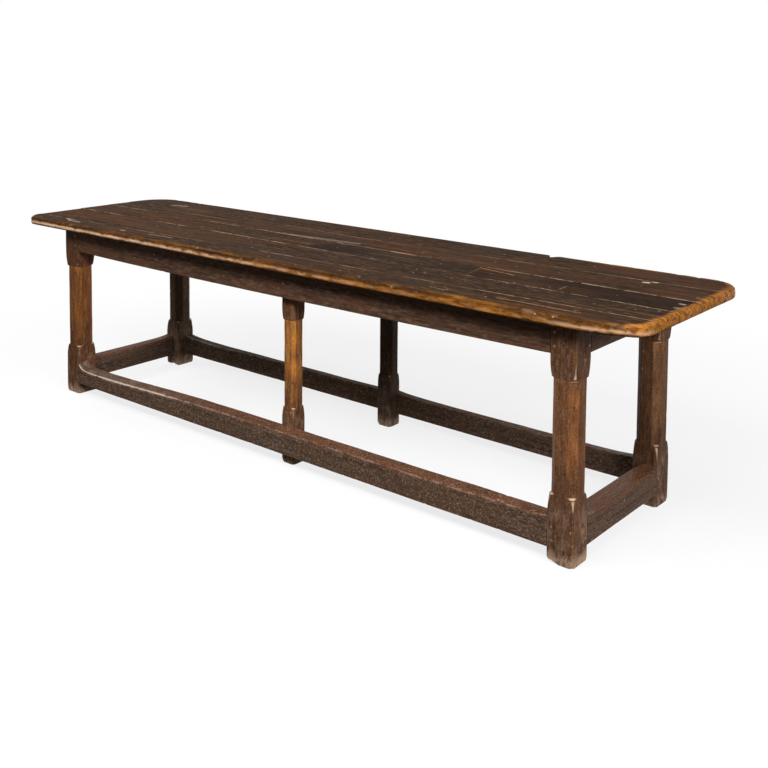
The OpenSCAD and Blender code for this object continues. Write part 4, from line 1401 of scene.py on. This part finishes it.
@dataclass
class Rail(Piece):
    """A rail or bearer: its length between shoulders, and how round its four edges have worn."""

    node: str
    grain: Grain
    reach: Pair
    slot: str
    finish: Oak
    arris: Four = (0.003, 0.003, 0.003, 0.003)
    top_worn: float = 0.0
    # X span of a painted highlight along the front top arris, which is also worn pale there.
    wear_and_highlight: Pair | None = None

    FORM = "rail"
    PITCH = 0.008
    ARC = 5
    TOP_POINTS = 9
    SIDE_POINTS = 6
    BOTTOM_POINTS = 6
    INSIDE_END = 5e-4
    INSIDE_EDGE = 6e-4
    TENON_LAP = 0.001

    def __post_init__(self) -> None:
        """Turns the finish so that its grain runs along the rail."""
        self.finish = replace(self.finish, grain=self.grain)

    def _levels(self, probe: Probe, along: np.ndarray, across: np.ndarray, upper: bool) -> np.ndarray:
        """Measures the heights of a face.

        Args:
            probe: Probe of the solid rail.
            along: Stations.
            across: Places across the rail, as stations by points.
            upper: Whether the upper face is measured.

        Returns:
            The heights.
        """
        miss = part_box(self.node)[1 if upper else 0][2]
        along = np.clip(along, self.reach[0] + self.INSIDE_END, self.reach[1] - self.INSIDE_END)
        heights = np.empty(across.shape)
        for (i, j), place in np.ndenumerate(across):
            x, y = (along[i], place) if self.grain is Grain.ALONG else (place, along[i])
            heights[i, j] = probe.level(x, y, upper, miss)
        return heights

    def _skins(self, seed: int) -> list[Skin]:
        """Builds the skin.

        Args:
            seed: Number that picks the pattern of wear.

        Returns:
            The worn skin, with its shades.
        """
        noise = Noise(seed)
        probe = Probe(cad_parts[self.node])
        side = 1 if self.grain is Grain.ALONG else 0
        near, far = (corner[side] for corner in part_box(self.node))
        along = stations(self.reach[0] - self.TENON_LAP, self.reach[1] + self.TENON_LAP, self.PITCH)
        radii = []
        for number, radius in enumerate(self.arris):
            line = np.stack([along, np.full(along.shape, 0.7 * number), np.zeros(along.shape)], axis=-1)
            radii.append(radius * (0.55 + 0.9 * noise.layers(line, (0.10, 1.0, 1.0), 3)))
        angle = np.linspace(0, 1, self.ARC) * math.pi / 2
        over, under = 1 - np.cos(angle), 1 - np.sin(angle)
        near_top, far_top, far_low, near_low = (radius[:, None] for radius in radii)
        top = np.hstack([near + near_top * over, *between(near + near_top, far - far_top, self.TOP_POINTS),
                         far - far_top * over[::-1]])
        low = np.hstack([far - far_low * over, *between(far - far_low, near + near_low, self.BOTTOM_POINTS),
                         near + near_low * over[::-1]])
        least, most = near + self.INSIDE_EDGE, far - self.INSIDE_EDGE
        top_z = self._levels(probe, along, np.clip(top, least, most), True)
        low_z = self._levels(probe, along, np.clip(low, least, most), False)
        top_z[:, :self.ARC] -= near_top * under
        top_z[:, -self.ARC:] -= far_top * under[::-1]
        low_z[:, :self.ARC] += far_low * under
        low_z[:, -self.ARC:] += near_low * under[::-1]
        far_z = between(top_z[:, -1:], low_z[:, :1], self.SIDE_POINTS)
        near_z = between(low_z[:, -1:], top_z[:, :1], self.SIDE_POINTS)
        wall = np.ones((len(along), self.SIDE_POINTS))
        across = np.hstack([top, far * wall, low, near * wall])
        height = np.hstack([top_z, *far_z, low_z, *near_z])
        line = np.broadcast_to(along[:, None], across.shape)
        parts = (line, across, height) if side else (across, line, height)
        skin = Skin(np.stack(parts, axis=-1), noise)
        self._wear(skin)
        return [skin]

    def _wear(self, skin: Skin) -> None:
        """Wears the skin down and stores its shades.

        Args:
            skin: The new skin.
        """
        size: Size = (0.22, 0.03, 0.03) if self.grain is Grain.ALONG else (0.03, 0.22, 0.03)
        depth = 0.0002 + 0.0009 * skin.pattern(size)
        dents = smooth_step(skin.pattern((0.020, 0.020, 0.014), 2, 1.3), 0.72, 0.9)
        skin.sink(depth + 0.0012 * dents)
        x = skin.unworn[..., 0]
        worn, bare_and_highlight = np.zeros(x.shape), np.zeros(x.shape)
        top = np.s_[:, :2 * self.ARC + self.TOP_POINTS]
        worn[top] = self.top_worn
        ragged = skin.pattern((0.06, 0.06, 0.06))
        start = 0
        for face in (self.TOP_POINTS, self.SIDE_POINTS, self.BOTTOM_POINTS, self.SIDE_POINTS):
            corner = np.s_[:, start:start + self.ARC]
            worn[corner] = np.maximum(worn[corner], 0.35 + 0.8 * (ragged[corner] - 0.5))
            start += self.ARC + face
        # Painted highlight: a pale line along the top of the front arris, partly real wear, and a paler, less
        # red top towards the left end, where the lamps glint.
        if self.wear_and_highlight:
            first, last = self.wear_and_highlight
            edge = np.s_[:, :self.ARC]
            fade = smooth_step(x[edge], first - 0.04, first) * (1 - smooth_step(x[edge], last - 0.5, last))
            arris_highlight = np.exp(-(((np.arange(self.ARC) - (self.ARC - 1) * 0.4) / (self.ARC * 0.3)) ** 2))
            bare_and_highlight[top] = 0.30 * (1 - smooth_step(x[top], -1.1, -0.3)) * ragged[top]
            bare_and_highlight[edge] = (0.2 + 0.8 * fade) * (0.8 + 0.8 * ragged[edge]) * arris_highlight
            worn[top] *= smooth_step(x[top], -1.3, -0.2)
        skin.shade("worn", np.clip(worn, 0, 1))
        skin.shade("bare_and_highlight", np.clip(bare_and_highlight, 0, 1))


@dataclass
class Rails:
    """Aprons, stretchers and the bearers under the top."""

    long_reach: Pair = (-SHOULDER_X, SHOULDER_X)
    end_reach: Pair = (-SHOULDER_Y, SHOULDER_Y)
    bearer_reach: Pair = (-0.280, 0.280)
    middle_reach: Pair = (-0.225, 0.237)

    SEEDS = (83, 7)

    def _rails(self) -> list[Rail]:
        """Lists the rails.

        Returns:
            The aprons, the stretchers and the bearers.
        """
        long, end = (Grain.ALONG, self.long_reach), (Grain.ACROSS, self.end_reach)
        aprons = [Rail(f"apron_{side}", *run, "apron_oak", APRON_OAK)
                  for side, run in (("front", long), ("back", long), ("left", end), ("right", end))]
        oak, left_end = ("stretcher_oak", STRETCHER_OAK), self.long_reach[0]
        stretchers = [
            Rail("stretcher_front", *long, *oak, (0.005, 0.004, 0.003, 0.003), 0.75, (left_end, -0.3)),
            Rail("stretcher_back", *long, *oak, (0.004, 0.006, 0.003, 0.003), 0.7, (left_end, -0.55)),
            Rail("stretcher_left", *end, *oak, (0.004, 0.005, 0.003, 0.003), 0.6),
            Rail("stretcher_right", *end, *oak, (0.004, 0.004, 0.003, 0.003), 0.8),
        ]
        bearers = [Rail(f"bearer_{place}", Grain.ACROSS, reach, "bearer_oak", BEARER_OAK)
                   for place, reach in (("left", self.bearer_reach), ("middle", self.middle_reach),
                                        ("right", self.bearer_reach))]
        return aprons + stretchers + bearers

    def make(self) -> list[bpy.types.Object]:
        """Builds every rail."""
        return make_all(self._rails(), *self.SEEDS)


# ---------- pegs ----------


@dataclass
class PegSet(Piece):
    """All the riven pegs of one kind, whittled to a rough round with domed heads."""

    node: str
    surface: Probe | None = None
    proud: float = 0.0004
    slot: str = "peg_oak"
    finish: Oak = PEG_OAK

    FORM = "riven"
    CREASE = 70.0
    PROFILE = ((0.0, 0.30), (0.0004, 0.74), (0.0011, 0.93), (0.0026, 0.99))
    WAIST = 0.985

    def _spans(self) -> list[tuple[np.ndarray, np.ndarray]]:
        """Finds the solid pegs.

        Returns:
            The lowest and the highest corner of each peg.
        """
        mesh = bmesh.new()
        mesh.from_mesh(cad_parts[self.node].data)
        bmesh.ops.remove_doubles(mesh, verts=mesh.verts, dist=1e-6)
        left = set(mesh.verts)
        spans = []
        while left:
            group, edge = [], [left.pop()]
            while edge:
                vertex = edge.pop()
                group.append(vertex.co.copy())
                others = {link.other_vert(vertex) for link in vertex.link_edges} & left
                left -= others
                edge += others
            points = np.array(group)
            spans.append((points.min(axis=0), points.max(axis=0)))
        mesh.free()
        return sorted(spans, key=lambda span: tuple(np.round(span[0], 5)))

    def _peg(self, low: np.ndarray, high: np.ndarray, lot: np.random.Generator) -> Skin:
        """Builds one peg.

        Args:
            low: Lowest corner of its box.
            high: Highest corner of its box.
            lot: Source of its small differences.

        Returns:
            The skin of the peg.
        """
        axis = int(np.argmax(high - low))
        others = [k for k in range(3) if k != axis]
        centre = (low + high) / 2
        radius = (high - low)[others].mean() / 2
        start, end = low[axis], high[axis]
        if self.surface:
            end = min(self.surface.level(centre[0], centre[1], True, end) + self.proud, end)
        sides = int(lot.integers(9, 13))
        spin = lot.uniform(0, math.tau)
        angles = spin + np.arange(sides) * math.tau / sides
        facets = lot.uniform(0.90, 1.0, sides)
        steps = [(start + d, r) for d, r in self.PROFILE]
        steps += [((start + end) / 2, self.WAIST), *((end - d, r) for d, r in reversed(self.PROFILE))]
        rings = np.empty((len(steps), sides, 3))
        for ring, (place, share) in zip(rings, steps):
            ring[:, axis] = place
            for other, wave in zip(others, (np.cos(angles), np.sin(angles))):
                ring[:, other] = centre[other] + radius * share * facets * wave
        skin = Skin(rings)
        skin.shade("worn", lot.uniform(0.1, 0.5))
        skin.shade("bare_and_highlight", lot.uniform(0.0, 0.35))
        return skin

    def _skins(self, seed: int) -> list[Skin]:
        """Builds every peg, each with its own small differences."""
        lot = np.random.default_rng(seed)
        return [self._peg(low, high, lot) for low, high in self._spans()]


# ---------- studio ----------


@dataclass(frozen=True)
class Lamp:
    """A soft lamp, by the direction it stands in and the level of light it gives."""

    name: str
    direction: Size
    distance: float
    size: Pair
    level: float
    aim: Size = (0.0, 0.0, 0.4)


@dataclass
class Studio:
    """Camera, lamps, background and floor."""

    lens: float = 49.89
    sensor: float = 36.0
    shift_y: float = -0.33481
    position: Size = (2.72882, -2.97207, 1.50474)
    yaw: float = 0.6905
    pitch: float = 0.07312
    roll: float = 0.00717
    ambient: float = 0.07
    floor_size: float = 60.0
    floor_level: float = -1e-4
    floor_fade: Pair = (1.2, 3.0)
    floor_white: Pair = (0.80, 1.0)
    lamps: tuple[Lamp, ...] = (
        Lamp("front_softbox", (0.25, -1.0, 1.03), 3.4, (3.2, 0.9), 0.95),
        Lamp("right_softbox", (1.0, -0.30, 0.40), 5.0, (1.6, 1.4), 0.52),
        Lamp("left_softbox", (-1.0, -0.15, 0.95), 4.2, (1.4, 1.4), 0.40),
        Lamp("back_softbox", (0.1, 1.0, 0.0), 5.0, (4.0, 0.6), 0.45, (0.0, 0.0, 0.36)),
    )

    def _camera(self) -> None:
        """Sets up the camera."""
        data = bpy.data.cameras.new("camera")
        data.lens = self.lens
        data.sensor_width = self.sensor
        data.sensor_fit = "HORIZONTAL"
        data.shift_y = self.shift_y
        data.clip_end = 200.0
        camera = bpy.data.objects.new("camera", data)
        turn = Matrix.Rotation(self.yaw, 4, "Z") @ Matrix.Rotation(math.pi / 2 - self.pitch, 4, "X")
        camera.matrix_world = Matrix.Translation(self.position) @ turn @ Matrix.Rotation(self.roll, 4, "Z")
        bpy.context.scene.collection.objects.link(camera)
        bpy.context.scene.camera = camera

    def _lamp(self, lamp: Lamp) -> None:
        """Hangs one lamp so that a surface facing it gets its level of light.

        Args:
            lamp: The lamp.
        """
        data = bpy.data.lights.new(lamp.name, "AREA")
        data.shape = "RECTANGLE"
        data.size, data.size_y = lamp.size
        data.energy = math.pi**2 * lamp.distance**2 * lamp.level
        light = bpy.data.objects.new(lamp.name, data)
        way = Vector(lamp.direction).normalized()
        light.location = Vector(lamp.aim) + way * lamp.distance
        light.rotation_euler = way.to_track_quat("Z", "Y").to_euler()
        bpy.context.scene.collection.objects.link(light)

    @staticmethod
    def _seen(graph: Graph) -> Socket:
        """Finds the rays of the camera, of reflections and through glass.

        Args:
            graph: Graph of the material or the world.

        Returns:
            A socket with 1 for those rays and 0 for all others.
        """
        path = graph.node("LightPath").outputs
        seen = graph.math("MAXIMUM", path["Is Camera Ray"], path["Is Transmission Ray"])
        return graph.math("MAXIMUM", seen, path["Is Glossy Ray"])

    def _world(self) -> None:
        """Makes the background white to the camera and dim to everything else."""
        world = bpy.data.worlds.new("studio")
        bpy.context.scene.world = world
        world.use_nodes = True
        graph = Graph(world.node_tree)
        seen = self._seen(graph)
        level = graph.math("MAXIMUM", seen, self.ambient)
        shader = graph.node("Background", {"Color": (1, 1, 1, 1), "Strength": level}).outputs[0]
        graph.node("OutputWorld", {"Surface": shader})

    def _floor(self) -> None:
        """Lays a pale floor that fades into the background."""
        mesh = bpy.data.meshes.new("floor")
        half = self.floor_size / 2
        corners = [(half * x, half * y, self.floor_level) for x, y in ((-1, -1), (1, -1), (1, 1), (-1, 1))]
        mesh.from_pydata(corners, [], [(0, 1, 2, 3)])
        floor = bpy.data.objects.new("floor", mesh)
        bpy.context.scene.collection.objects.link(floor)
        material = bpy.data.materials.new("floor_paper")
        material.use_nodes = True
        graph = Graph(material.node_tree)
        seen = self._seen(graph)
        place = graph.node("TexCoord").outputs["Object"]
        mottle = graph.window(graph.noise(place, (3, 3, 3)), 0.3, 0.7)
        paper = graph.mix(mottle, (0.93, 0.93, 0.93, 1), (0.96, 0.96, 0.96, 1))
        colour = graph.mix(seen, (0.13, 0.125, 0.12, 1), paper)
        matt = graph.node("BsdfDiffuse", {"Color": colour}).outputs[0]
        white = graph.node("Emission", {"Color": (1, 1, 1, 1), "Strength": 1.0}).outputs[0]
        edge = graph.window(graph.node("VectorMath", {0: place}, operation="LENGTH").outputs["Value"],
                            *self.floor_fade)
        near, far = self.floor_white
        bright = graph.times(seen, graph.plus(near, graph.times(edge, far - near)))
        shader = graph.node("MixShader", {0: bright, 1: matt, 2: white}).outputs[0]
        graph.node("OutputMaterial", {"Surface": shader})
        mesh.materials.append(material)

    def make(self) -> None:
        """Sets up the whole studio."""
        bpy.context.scene.view_settings.view_transform = "Standard"
        self._camera()
        for lamp in self.lamps:
            self._lamp(lamp)
        self._world()
        self._floor()


def main() -> None:
    """Builds the table and its studio."""
    logging.basicConfig(level=logging.INFO, format="%(message)s")
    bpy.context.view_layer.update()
    Studio().make()
    boards = Top().make()
    Legs().make()
    Rails().make()
    PegSet("pegs_apron_joints").make(151)
    PegSet("pegs_stretcher_joints").make(152)
    PegSet("pegs_middle_legs").make(153)
    PegSet("pegs_top", surface=Probe(*boards)).make(157)


if __name__ == "__main__":
    main()
